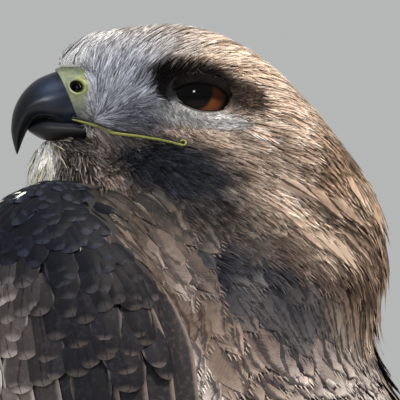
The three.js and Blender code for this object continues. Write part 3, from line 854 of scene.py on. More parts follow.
@dataclass(frozen=True)
class Horn:
    """Beak and claw horn: polished keratin, smooth and hard, with faint streaks; the mesh has its tint."""

    name: str
    roughness: float
    streak_spacing: float = 1.2  # mm between growth streaks
    streak_depth: float = 0.16
    ior: float = 1.54

    def build(self) -> Material:
        """Makes the material.

        Returns:
            The material.
        """
        mat, tree, shader = begin_finish(self.name)
        paint = add_node(tree, "ShaderNodeAttribute", {"attribute_name": "paint"}, {})
        place = add_node(tree, "ShaderNodeTexCoord", {}, {})
        cloud = add_node(
            tree, "ShaderNodeTexNoise", {},
            {"Vector": place.outputs["Object"], "Scale": 1000 / self.streak_spacing * 0.5, "Detail": 5.0},
        )
        shade = add_node(
            tree, "ShaderNodeMapRange", {},
            {0: cloud, 1: 0.3, 2: 0.7, 3: 1 - self.streak_depth, 4: 1 + self.streak_depth},
        )
        tone = add_node(
            tree, "ShaderNodeMix", {"data_type": "RGBA", "blend_type": "MULTIPLY"},
            {0: 1.0, 6: paint.outputs["Color"], 7: shade},
        )
        bump = add_node(
            tree, "ShaderNodeBump", {}, {"Strength": 0.12, "Distance": 0.0003, "Height": cloud}
        )
        fill(tree, shader, {
            "Base Color": tone.outputs[2], "Normal": bump,
            "Roughness": self.roughness, "IOR": self.ior,
        })
        return mat


@dataclass(frozen=True)
class ScalySkin:
    """Leathery bare skin with small raised scales, as on the legs: soft gloss and fine relief."""

    name: str
    colour: str
    crease: str
    scale_size: float  # mm across one scale
    roughness: float = 0.48
    relief: float = 0.5

    def build(self) -> Material:
        """Makes the material.

        Returns:
            The material.
        """
        mat, tree, shader = begin_finish(self.name)
        place = add_node(tree, "ShaderNodeTexCoord", {}, {})
        cells = add_node(
            tree, "ShaderNodeTexVoronoi", {"feature": "DISTANCE_TO_EDGE"},
            {"Vector": place.outputs["Object"], "Scale": 1000 / self.scale_size},
        )
        edge = add_node(
            tree, "ShaderNodeMapRange", {"interpolation_type": "SMOOTHSTEP"},
            {0: cells, 1: 0.0, 2: 0.16, 3: 0.0, 4: 1.0},
        )
        cloud = add_node(
            tree, "ShaderNodeTexNoise", {},
            {"Vector": place.outputs["Object"], "Scale": 180.0, "Detail": 4.0},
        )
        tone = add_node(
            tree, "ShaderNodeMix", {"data_type": "RGBA"},
            {0: edge, 6: rgba(self.crease), 7: rgba(self.colour)},
        )
        uneven = add_node(tree, "ShaderNodeMapRange", {}, {0: cloud, 1: 0.3, 2: 0.7, 3: 0.82, 4: 1.12})
        last = add_node(
            tree, "ShaderNodeMix", {"data_type": "RGBA", "blend_type": "MULTIPLY"},
            {0: 1.0, 6: tone.outputs[2], 7: uneven},
        )
        bump = add_node(
            tree, "ShaderNodeBump", {}, {"Strength": self.relief, "Distance": 0.0004, "Height": edge}
        )
        fill(tree, shader, {"Base Color": last.outputs[2], "Normal": bump, "Roughness": self.roughness})
        return mat


@dataclass(frozen=True)
class WetEye:
    """An eye under its wet cornea, which mirrors the lights sharply; the mesh has its colours."""

    name: str = "wet cornea over iris"

    def build(self) -> Material:
        """Makes the material.

        Returns:
            The material.
        """
        mat, tree, shader = begin_finish(self.name)
        paint = add_node(tree, "ShaderNodeAttribute", {"attribute_name": "paint"}, {})
        fill(tree, shader, {
            "Base Color": paint.outputs["Color"], "Roughness": 0.5, "Specular IOR Level": 0.0,
            "Coat Weight": 0.6, "Coat Roughness": 0.02, "Coat IOR": 1.27,
        })
        return mat


# Skin


@dataclass
class Skin:
    """The one skin of head, neck, body and thighs, under the plumage."""

    voxel: float = 1.4
    depth: float = 1.6  # mm under the solids' faces, so that the feathers have room
    smooth: int = 6
    seam: float = 1.4  # mm; more than half a voxel closes the gaps between the solids

    NODES = ("head", "neck", "torso", "rump", "thigh_left", "thigh_right")

    def build(self) -> Object:
        """Makes the skin and paints it; its hollows for the eyes are filled, as the eyes stand out of it.

        Returns:
            The skin.
        """
        nodes = (*self.NODES, "eye_left", "eye_right")
        made = remeshed("skin", nodes, self.voxel, self.smooth, 0.0, self.seam)
        self.without_crumbs(made)
        co = coordinates(made)
        forward, height, _ = HEAD.local(co)
        by_bill = np.maximum(fade(height, 1, 6), fade(-height, 13, 17))
        thin = fade(forward, 20, 30) * by_bill * fade(height, -60, -40)
        inset = self.depth * (1 - 0.85 * thin)
        co = co - read(made.data.vertices, "normal", 3) * inset[:, None] * MM
        made.data.vertices.foreach_set("co", co.astype(np.float32).ravel())
        made.data.update()
        colour_layer(made, "paint", 0.8 * MARKINGS.at(co)[:, 0])
        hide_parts(*self.NODES)
        finish_piece(made, BareSkin().build())
        return made

    def without_crumbs(self, made: Object) -> None:
        """Takes out what isn't joined to the skin's largest shell.

        Args:
            made: The skin.
        """
        with edited(made.data) as work:
            left, shells = set(work.verts), []
            while left:
                shell, edge = set(), [left.pop()]
                while edge:
                    shell.update(edge)
                    edge = list({e.other_vert(v) for v in edge for e in v.link_edges} - shell)
                left -= shell
                shells.append(shell)
            shells.sort(key=len)
            LOG.info("skin: %d shells, largest %d points", len(shells), len(shells[-1]))
            crumbs = [v for shell in shells[:-1] for v in shell]
            bmesh.ops.delete(work, geom=crumbs, context="VERTS")


# Plumage


@dataclass
class CoatForm:
    """A smooth shape over body, wings and tail to lay long feathers on; it isn't part of the model."""

    voxel: float = 3.0
    rounding: float = 10.0  # mm that it is grown and shrunk by, which fills the folds at the wings
    inset: float = 2.0

    def build(self) -> Object:
        """Makes the form, with its hollows rounded out.

        Returns:
            The form.
        """
        nodes = (*Skin.NODES, "wing_left", "wing_right", "tail", "eye_left", "eye_right")
        made = joined_nodes("coat form", nodes)
        for step, amount in (("open", self.rounding), ("close", -self.rounding - self.inset)):
            mesher = made.modifiers.new(f"{step} mesh", "REMESH")
            mesher.mode, mesher.voxel_size = "VOXEL", self.voxel * MM
            smoother = made.modifiers.new(f"{step} smooth", "SMOOTH")
            smoother.factor, smoother.iterations = 0.5, 3 if amount > 0 else 12
            mover = made.modifiers.new(f"{step} move", "DISPLACE")
            mover.strength, mover.mid_level = amount * MM, 0.0
        last = made.modifiers.new("last smooth", "SMOOTH")
        last.factor, last.iterations = 0.5, 8
        return applied(made)


class Vane(Enum):
    """The kinds of small feather that the coat is made of."""

    BRISTLE = "bristle"
    PLUME = "plume"
    HACKLE = "hackle"
    SOFT = "soft feather"
    SCALE = "scale feather"


class VanePatterns:
    """A few flat feathers of each kind, a unit long and wide, for the coat to repeat."""

    COUNT = 4

    def __init__(self, seed: int = 7) -> None:
        """Fixes the seed of the patterns."""
        self.rng = np.random.default_rng(seed)

    def strip(self, root: Array, tip: Array, wide: float, bow: float, rows: int) -> tuple[Array, list]:
        """Makes a tapering strip.

        Args:
            root: Where it starts.
            tip: Where it ends.
            wide: How wide it is.
            bow: How far it bows sideways, as a share of its length.
            rows: Points along it.

        Returns:
            Its points and faces.
        """
        t = np.linspace(0, 1, rows)[:, None]
        run = tip - root
        normal = np.array([-run[1], run[0], 0.0])
        line = root + run * t + normal * bow * np.sin(math.pi * t)
        half = 0.5 * wide * (1 - t**2.2) + 0.02 * wide
        side = unit(np.array([normal[0], normal[1], 0.0]))
        points = np.concatenate([line - side * half, line + side * half], 1).reshape(-1, 3)
        return points, grid_faces(rows, 2)

    def together(self, parts: Sequence[tuple[Array, list]]) -> tuple[Array, list]:
        """Joins strips.

        Args:
            parts: Points and faces of each.

        Returns:
            Points and faces of all.
        """
        points, faces = [], []
        for p, f in parts:
            start = sum(map(len, points))
            faces += [tuple(k + start for k in q) for q in f]
            points.append(p)
        return np.concatenate(points), faces

    def barbed(self, pairs: int, spread: float, wide: float) -> tuple[Array, list]:
        """Makes a feather of barb clumps that leave a central strip on both sides.

        Args:
            pairs: Clumps on each side.
            spread: How far they reach out.
            wide: How wide they are.

        Returns:
            Its points and faces.
        """
        parts = [self.strip(np.zeros(3), np.array([0.0, 1.0, 0.0]), 1.7 * wide, 0.0, 5)]
        for i in range(pairs):
            share = i / max(pairs - 1, 1)
            for s in (-1, 1):
                start = np.array([0.0, 0.06 + 0.58 * share + self.rng.uniform(-0.04, 0.04), 0.0])
                reach = (0.34 + 0.14 * self.rng.random()) * (1 - 0.25 * share)
                end = np.array([s * spread * (1 - 0.5 * share), start[1] + reach, -0.05])
                parts.append(self.strip(start, end, wide, -0.14 * s, 3))
        return self.together(parts)

    def half_width(self, kind: Vane, v: Array) -> Array:
        """Finds half the width of a web.

        Args:
            kind: The feather.
            v: Shares of its length.

        Returns:
            Half the width at each.
        """
        if kind is Vane.SCALE:
            return 0.5 * (0.6 + 0.4 * fade(v, 0, 0.3)) * np.sqrt(1 - np.clip((v - 0.42) / 0.58, 0, 1) ** 2.3)
        if kind is Vane.SOFT:
            return 0.5 * (0.4 + 0.6 * fade(v, 0, 0.35)) * (1 - np.clip((v - 0.4) / 0.6, 0, 1) ** 2.1)
        return 0.5 * (0.4 + 0.6 * fade(v, 0, 0.3)) * (1 - np.clip((v - 0.3) / 0.7, 0, 1) ** 1.7)

    def web(self, kind: Vane, rows: int, columns: int) -> tuple[Array, list]:
        """Makes a closed web with a raised middle.

        Args:
            kind: The feather.
            rows: Points along it.
            columns: Points across it.

        Returns:
            Its points and faces.
        """
        v = 1 - (1 - np.linspace(0, 1, rows)) ** 1.45
        u = np.linspace(-1, 1, columns)
        half = np.maximum(self.half_width(kind, v), 0.012)
        x = u[None] * half[:, None]
        y = v[:, None] + 0 * x
        z = (1 - u[None] ** 2) * np.minimum(1, half / 0.3)[:, None]
        return np.stack([x, y, z], -1).reshape(-1, 3), grid_faces(rows, columns)

    def fringed(self, kind: Vane, rows: int, sides: int, tips: int, size: float) -> tuple[Array, list]:
        """Makes a web with loose barbs along its edges and its tip.

        Args:
            kind: The feather.
            rows: Points along the web.
            sides: Barbs on each edge.
            tips: Barbs at the tip.
            size: How long they are.

        Returns:
            Its points and faces.
        """
        points, faces = self.web(kind, rows, 5)
        points[:, :2] *= 0.9
        parts = [(points, faces)]
        for s in (-1, 1):
            for v in np.linspace(0.25, 0.85, sides) + self.rng.uniform(-0.05, 0.05, sides):
                half = float(self.half_width(kind, np.array(v))) * 0.9
                start = np.array([s * half * 0.75, v * 0.9 - 0.05, 0.1])
                reach = size * self.rng.uniform(0.4, 1.3)
                end = start + np.array([s * (half * 0.3 + 0.35 * reach), reach, 0.0])
                parts.append(self.strip(start, end, 0.026, -0.1 * s, 3))
        for k in np.linspace(-1, 1, tips):
            reach = size * self.rng.uniform(0.7, 1.2)
            start = np.array([0.24 * k, 0.9 - 0.1 * abs(k), 0.05])
            end = start + np.array([0.3 * k * reach, reach, 0.0])
            parts.append(self.strip(start, end, 0.034, 0.06 * k, 3))
        return self.together(parts)

    def make(self, kind: Vane, index: int) -> Object:
        """Makes one pattern.

        Args:
            kind: The feather.
            index: Which of its patterns.

        Returns:
            The pattern.
        """
        if kind is Vane.BRISTLE:
            bow = 0.03 * (index - 1.5)
            points, faces = self.strip(np.zeros(3), np.array([0.0, 1.0, 0.0]), 1.0, bow, 4)
        elif kind is Vane.PLUME:
            points, faces = self.barbed(4, 0.46, 0.15)
        elif kind is Vane.HACKLE:
            points, faces = self.fringed(kind, 8, 5, 3, 0.13)
        elif kind is Vane.SOFT:
            points, faces = self.fringed(kind, 8, 6, 7, 0.075)
        else:
            points, faces = self.web(kind, 9, 5)
        made = build_mesh(f"{kind.value} {index}", points, faces)
        store(made.data, "vane", "FLOAT_VECTOR", coordinates(made))
        bpy.context.scene.collection.objects.unlink(made)
        return made

    def collection(self, kind: Vane) -> bpy.types.Collection:
        """Gathers the patterns of a kind.

        Args:
            kind: The feather.

        Returns:
            Their collection.
        """
        group = bpy.data.collections.new(f"{kind.value} patterns")
        for index in range(self.COUNT):
            group.objects.link(self.make(kind, index))
        return group


class CoatTree:
    """A Geometry Nodes tree that sets a feather on each root and drapes it over a surface."""

    INPUTS = (
        ("Roots", "NodeSocketGeometry"),
        ("Patterns", "NodeSocketCollection"),
        ("Surface", "NodeSocketObject"),
        ("Finish", "NodeSocketMaterial"),
        ("Patch", "NodeSocketFloat"),
    )
    ATTRIBUTES = (
        ("pick", "INT"),
        ("turn", "FLOAT_VECTOR"),
        ("span", "FLOAT_VECTOR"),
        ("vane", "FLOAT_VECTOR"),
        ("stand", "FLOAT_VECTOR"),
        ("chart", "FLOAT_VECTOR"),
        ("cant", "FLOAT"),
    )

    def __init__(self) -> None:
        """Builds the tree."""
        self.tree = bpy.data.node_groups.new("draped coat", "GeometryNodeTree")
        self.sockets = {
            name: self.tree.interface.new_socket(name, in_out="INPUT", socket_type=kind).identifier
            for name, kind in self.INPUTS
        }
        self.tree.interface.new_socket("Coat", in_out="OUTPUT", socket_type="NodeSocketGeometry")
        self.wire()

    def wire(self) -> None:
        """Wires the nodes."""
        tree = self.tree
        given = add_node(tree, "NodeGroupInput", {}, {})
        own = {
            name: add_node(
                tree, "GeometryNodeInputNamedAttribute", {"data_type": kind}, {"Name": name}
            ).outputs["Attribute"]
            for name, kind in self.ATTRIBUTES
        }
        patterns = add_node(
            tree, "GeometryNodeCollectionInfo", {},
            {"Collection": given.outputs["Patterns"], "Separate Children": True, "Reset Children": True},
        )
        set_out = add_node(
            tree, "GeometryNodeInstanceOnPoints", {},
            {
                "Points": given.outputs["Roots"],
                "Instance": patterns,
                "Pick Instance": True,
                "Instance Index": own["pick"],
                "Rotation": own["turn"],
                "Scale": own["span"],
            },
        )
        real = add_node(tree, "GeometryNodeRealizeInstances", {}, {0: set_out})
        surface = add_node(
            tree, "GeometryNodeObjectInfo", {"transform_space": "ORIGINAL"},
            {"Object": given.outputs["Surface"]},
        )
        near = add_node(
            tree, "GeometryNodeProximity", {"target_element": "FACES"}, {0: surface.outputs["Geometry"]}
        )
        normal = add_node(tree, "GeometryNodeInputNormal", {}, {})
        facing = add_node(
            tree, "GeometryNodeSampleNearestSurface", {"data_type": "FLOAT_VECTOR"},
            {"Mesh": surface.outputs["Geometry"], "Value": normal},
        )
        x, y, z = add_node(tree, "ShaderNodeSeparateXYZ", {}, {0: own["vane"]}).outputs
        height, rise, dome = add_node(tree, "ShaderNodeSeparateXYZ", {}, {0: own["stand"]}).outputs
        for share, weight in ((y, rise), (z, dome), (x, own["cant"])):
            more = add_node(
                tree, "ShaderNodeMath", {"operation": "MULTIPLY_ADD"}, {0: share, 1: weight, 2: height}
            )
            height = more.outputs[0]
        lift = add_node(
            tree, "ShaderNodeVectorMath", {"operation": "SCALE"}, {0: facing, "Scale": height}
        )
        spot = add_node(tree, "ShaderNodeVectorMath", {"operation": "ADD"}, {0: near, 1: lift})
        draped = add_node(tree, "GeometryNodeSetPosition", {}, {"Geometry": real, "Position": spot})
        patch = add_node(
            tree, "ShaderNodeVectorMath", {"operation": "SCALE"},
            {0: own["vane"], "Scale": given.outputs["Patch"]},
        )
        chart = add_node(tree, "ShaderNodeVectorMath", {"operation": "ADD"}, {0: patch, 1: own["chart"]})
        mapped = add_node(
            tree, "GeometryNodeStoreNamedAttribute", {"data_type": "FLOAT2", "domain": "CORNER"},
            {"Geometry": draped, "Name": "OFBake", "Value": chart},
        )
        smooth = add_node(tree, "GeometryNodeSetShadeSmooth", {}, {0: mapped})
        dressed = add_node(
            tree, "GeometryNodeSetMaterial", {}, {0: smooth, "Material": given.outputs["Finish"]}
        )
        add_node(tree, "NodeGroupOutput", {}, {0: dressed})


@dataclass
class Roots:
    """Where feathers grow and how they stand, one row for each."""

    place: Array
    normal: Array
    lay: Array
    length: Array
    width: Array
    stand: Array  # mm over the surface at the root, how much more at the tip, and the height of the middle
    cant: Array  # mm that one edge stands over the other
    colours: Array

    def kept(self, mask: Array) -> "Roots":
        """Returns only the rows that a mask keeps."""
        return Roots(*(getattr(self, f)[mask] for f in self.__dataclass_fields__))


def chart_of(points: Array, normals: Array) -> Array:
    """Places roots on an unwrap of the body: its six faces side by side, by where the skin faces.

    Args:
        points: Roots in metres.
        normals: The skin's directions there.

    Returns:
        Places from 0 to 1.
    """
    face = np.argmax(np.abs(normals), axis=1)
    back = np.take_along_axis(normals, face[:, None], 1)[:, 0] < 0
    others = np.array([[1, 2], [0, 2], [0, 1]])[face]
    flat = np.take_along_axis(points, others, 1)
    low = np.array([-0.20, -0.20, 0.0])[others]
    span = 0.42
    cell = face * 2 + back
    corner = np.stack([(cell % 3) / 3, (cell // 3) / 2], 1)
    size = np.array([1 / 3, 1 / 2]) * 0.94
    place = corner + 0.01 + np.clip((flat - low) / span, 0, 1) * size
    return np.concatenate([place, np.zeros((len(place), 1))], 1)


class Coat:
    """Grows feathers on a surface: it finds their roots, and a node tree sets and drapes them."""

    FINISHES = {
        Vane.BRISTLE: FeatherKeratin("fine face feathers", rim_start=0.3, length=5, specular=0.05),
        Vane.PLUME: FeatherKeratin("small loose feathers", rim_start=0.25, length=8, specular=0.08),
        Vane.HACKLE: FeatherKeratin("pointed neck feathers", rim_start=0.35, length=22),
        Vane.SOFT: FeatherKeratin("soft body feathers", 0.8, 0.04, rim_start=0.42, tip_start=0.6, length=24),
        Vane.SCALE: FeatherKeratin("scale-like coverts", 0.4, 0.05, 0.5, 0.8, 0.84, 12, 0.09),
    }
    LONG_FINISH = FeatherKeratin("flight feather vanes", 0.8, 0.05, 0.55, 0.8, 0.93, 100)
    PATCH = 0.003  # how large a feather's own patch is on the map
    TORN = 0.5  # the share of a feather's length that one edge of its mesh may have

    def __init__(self, seed: int) -> None:
        """Prepares the patterns, the tree and the finishes.

        Args:
            seed: The seed of the random draws.
        """
        self.rng = np.random.default_rng(seed)
        patterns = VanePatterns()
        self.patterns = {kind: patterns.collection(kind) for kind in Vane}
        self.tree = CoatTree()
        self.finishes = {kind: finish.build() for kind, finish in self.FINISHES.items()}
        self.long_finish = self.LONG_FINISH.build()

    def scatter(
        self, surface: Object, count: int, wanted: Callable[[Array], Array]
    ) -> tuple[Array, Array]:
        """Strews points over a surface where they are wanted.

        Args:
            surface: The object that they lie on.
            count: How many tries are made all over it.
            wanted: Gives the chance from 0 to 1 that a place keeps its point.

        Returns:
            The points and the directions out of the surface.
        """
        mesh = surface.data
        mesh.calc_loop_triangles()
        triangles = read(mesh.loop_triangles, "vertices", 3, np.int32)
        normals = read(mesh.vertices, "normal", 3)
        corner = coordinates(surface)[triangles]
        one, other = corner[:, 1] - corner[:, 0], corner[:, 2] - corner[:, 0]
        area = 0.5 * np.linalg.norm(np.cross(one, other), axis=1)
        weight = area * wanted(corner.mean(1))
        total = int(count * weight.sum() / area.sum())
        pick = self.rng.choice(len(triangles), total, p=weight / weight.sum())
        u, v = self.rng.random((2, total))
        u, v = np.where(u + v > 1, 1 - u, u), np.where(u + v > 1, 1 - v, v)
        share = np.stack([1 - u - v, u, v], 1)[..., None]
        points = (corner[pick] * share).sum(1)
        return points, unit((normals[triangles[pick]] * share).sum(1))

    def spaced(self, points: Array, gap: float) -> Array:
        """Finds which points keep a distance from those before them.

        Args:
            points: Places in metres.
            gap: The distance in metres.

        Returns:
            A mask of the points that stay.
        """
        keys = np.floor(points / gap).astype(int)
        taken: dict[tuple[int, int, int], list[int]] = {}
        keep = np.zeros(len(points), bool)
        around = [(i, j, k) for i in (-1, 0, 1) for j in (-1, 0, 1) for k in (-1, 0, 1)]
        for n, (x, y, z) in enumerate(keys.tolist()):
            close = [m for i, j, k in around for m in taken.get((x + i, y + j, z + k), ())]
            if close and (((points[close] - points[n]) ** 2).sum(1) < gap**2).any():
                continue
            keep[n] = True
            taken.setdefault((x, y, z), []).append(n)
        return keep

    def strewn(
        self, surface: Object, count: int, wanted: Callable[[Array], Array], gap: float
    ) -> tuple[Array, Array]:
        """Strews roots over a surface and thins them.

        Args:
            surface: The object that they lie on.
            count: How many tries are made all over it.
            wanted: Gives the chance from 0 to 1 that a place keeps its root.
            gap: The least distance between them in mm.

        Returns:
            The roots and the directions out of the surface.
        """
        points, normals = self.scatter(surface, count, wanted)
        keep = self.spaced(points, gap * MM)
        return points[keep], normals[keep]

    def grow(
        self, name: str, roots: Roots, kind: Vane, surface: Object, slot: str = "crown_plumage"
    ) -> Object:
        """Grows one piece of coat.

        Args:
            name: The piece's name.
            roots: Where and how the feathers stand.
            kind: The pattern that they repeat.
            surface: What they are draped over.
            slot: The record's material slot; not used.

        Returns:
            The finished mesh.
        """
        count = len(roots.place)
        mesh = bpy.data.meshes.new(name)
        mesh.vertices.add(count)
        mesh.vertices.foreach_set("co", roots.place.astype(np.float32).ravel())
        z = unit(roots.normal)
        y = unit(roots.lay - (roots.lay * z).sum(1, keepdims=True) * z)
        x = np.cross(y, z)
        pitch = -np.arcsin(np.clip(x[:, 2], -1, 1))
        roll = np.arctan2(y[:, 2], z[:, 2])
        yaw = np.arctan2(x[:, 1], x[:, 0])
        for key, form, values in (
            ("turn", "FLOAT_VECTOR", np.stack([roll, pitch, yaw], 1)),
            ("span", "FLOAT_VECTOR", np.stack([roots.width, roots.length, roots.width], 1) * MM),
            ("stand", "FLOAT_VECTOR", roots.stand * MM),
            ("chart", "FLOAT_VECTOR", chart_of(roots.place, z)),
            ("cant", "FLOAT", roots.cant * MM),
            ("streak", "FLOAT", roots.colours[:, 3, 0]),
            ("pick", "INT", self.rng.integers(0, VanePatterns.COUNT, count)),
            ("root", "INT", np.arange(count)),
        ):
            store(mesh, key, form, values)
        made = tidy_object(name, mesh)
        for index, key in enumerate(("middle", "rim", "shaft")):
            colour_layer(made, key, roots.colours[:, index])
        modifier = made.modifiers.new("coat", "NODES")
        modifier.node_group = self.tree.tree
        for key, value in (
            ("Patterns", self.patterns[kind]), ("Surface", surface),
            ("Finish", self.finishes[kind]), ("Patch", self.PATCH),
        ):
            modifier[self.tree.sockets[key]] = value
        applied(made)
        self.without_torn(made, roots.length)
        for key in ("turn", "span", "stand", "chart", "cant", "pick", "root"):
            if key in made.data.attributes:
                made.data.attributes.remove(made.data.attributes[key])
        finish_piece(made, self.finishes[kind])
        return made

    def without_torn(self, made: Object, length: Array) -> None:
        """Takes out feathers that a fold of the surface has pulled out of shape.

        Args:
            made: The coat, with its points' roots in an attribute.
            length: The feathers' lengths in mm by root.
        """
        mesh = made.data
        root = read(mesh.attributes["root"].data, "value", 1, np.int32)[:, 0]
        ends = read(mesh.edges, "vertices", 2, np.int32)
        co = coordinates(made)
        reach = np.linalg.norm(co[ends[:, 0]] - co[ends[:, 1]], axis=1) / MM
        owner = root[ends[:, 0]]
        torn = np.zeros(len(length), bool)
        torn[owner[reach > self.TORN * length[owner]]] = True
        if not torn.any():
            return
        bad = torn[root]
        with edited(mesh) as work:
            bmesh.ops.delete(work, geom=[v for v in work.verts if bad[v.index]], context="VERTS")
        LOG.info("%s: %d of %d feathers left out", made.name, int(torn.sum()), len(length))

    def clear(self) -> None:
        """Removes the patterns, once all coats are grown."""
        for group in self.patterns.values():
            for pattern in list(group.objects):
                bpy.data.objects.remove(pattern)
            bpy.data.collections.remove(group)


class Lie:
    """The way that feathers lie."""

    BILL = (47.0, 3.0)  # forward and height in mm of the place that most of the head's feathers lie away from
    GAPE = (29.5, -7.0)  # the same for the bristles between bill and eye
    BREAST = (0.0, 0.25, -1.0)
    BACK = (0.0, 0.62, -0.78)
    VENT = (0.0, 0.9, -0.5)

    def away(self, forward: Array, height: Array, source: tuple[float, float]) -> tuple[Array, Array]:
        """Finds the way from a place.

        Args:
            forward: How far forward of the eyes in mm.
            height: How far above them in mm.
            source: The place that it leads away from.

        Returns:
            The way forward and up.
        """
        dx, dy = forward - source[0], height - source[1]
        size = np.hypot(dx, dy) + 1e-6
        return dx / size, dy / size

    def face(self, points: Array) -> Array:
        """Finds the lie on the head: away from the bill, round the eye, and down the nape.

        Args:
            points: Places in metres.

        Returns:
            A direction for each.
        """
        forward, height, lateral = HEAD.local(points)
        dx, dy = self.away(forward, height, self.BILL)
        dy = dy - 0.62 * fade(-forward, -2, 46) - 0.2 * fade(-height, 10, 40)
        dy = dy - 1.0 * fade(-forward, 14, 44) * fade(-height, 22, 62)
        lore = fade(forward, 10, 18) * (1 - fade(-height, 6, 10))
        gx, gy = self.away(forward, height, self.GAPE)
        front = fade(height, 6, 11) * fade(forward, 12, 24)
        gx, gy = gx * (1 - front) - 0.62 * front, gy * (1 - front) + 0.78 * front
        dx, dy = dx * (1 - lore) + gx * lore, dy * (1 - lore) + gy * lore
        ring = np.exp(-(((np.hypot(forward / 11.5, height / 8.5) - 1) / 0.55) ** 2))
        dy = dy + 0.8 * ring * np.sign(height) * fade(forward, -4, 6) * fade(np.abs(height), 0, 3)
        under = fade(forward, 26, 36) * fade(-height, 12, 16)
        dx = dx * (1 - under) + (0.1 + 0.3 * fade(forward, 36, 42)) * under
        dy = dy * (1 - under) - under
        spread = 0.2 * np.sign(lateral) * fade(forward, 10, 36)
        return unit(HEAD.ahead * dx[:, None] + UP * dy[:, None] + HEAD.left * spread[:, None])

    def body(self, points: Array) -> Array:
        """Finds the lie on neck and body: down the back towards the tail, and down the breast.

        Args:
            points: Places in metres.

        Returns:
            A direction for each.
        """
        x, y, z = part_place(points)
        back = fade(y, -60, -10)[:, None]
        down = np.array(self.BREAST) * (1 - back) + np.array(self.BACK) * back
        low = (fade(165 - z, 0, 60) * fade(y, 20, 60))[:, None]
        down = down * (1 - low) + np.array(self.VENT) * low
        out = 0.006 * x[:, None] * np.array([1.0, 0, 0]) * fade(z, 250, 300)[:, None]
        return unit(down + out)

    def at(self, points: Array) -> Array:
        """Finds the lie all over the skin.

        Args:
            points: Places in metres.

        Returns:
            A direction for each.
        """
        _, height, _ = HEAD.local(points)
        w = fade(height, -66, -40)[:, None]
        return unit(self.body(points) * (1 - w) + self.face(points) * w)


LIE = Lie()


class WingMap:
    """Finds where on the folded wings a place lies."""

    def __init__(self) -> None:
        """Samples both wings."""
        t, across = np.meshgrid(np.linspace(0, 1, 90), np.linspace(-0.3, 1, 40), indexing="ij")
        t, across = t.ravel(), across.ravel()
        self.rows = np.stack([np.tile(t, 2), np.tile(across, 2)], 1)
        self.tree = KDTree(len(self.rows))
        places = np.concatenate([WING.place(side, t, across, -1) for side in Side])
        for index, place in enumerate(places):
            self.tree.insert(place, index)
        self.tree.balance()

    def find(self, points: Array) -> tuple[Array, Array, Array]:
        """Finds places on the wings.

        Args:
            points: Places in metres.

        Returns:
            How far off the wings they are in mm, and their shares of the length and breadth.
        """
        found = [self.tree.find(p)[1:] for p in points]
        index = np.array([i for i, _ in found], int)
        return np.array([d for _, d in found]) / MM, self.rows[index, 0], self.rows[index, 1]


@dataclass(frozen=True)
class Growth:
    """How densely a coat grows, and how much its feathers differ."""

    tries: int  # roots that are strewn over the whole surface before they are thinned
    gap: float  # mm between them
    wild: float  # how much the lie strays
    tones: float  # how much the tone varies from feather to feather
    dark: float = 0.0  # the share of them that shows mostly its shaft's colour


def stands(root: Array, rise: Array, middle: Array) -> Array:
    """Returns rows of height at the root, rise to the tip and height of the middle, in mm."""
    return np.stack(np.broadcast_arrays(root, rise, middle), -1)


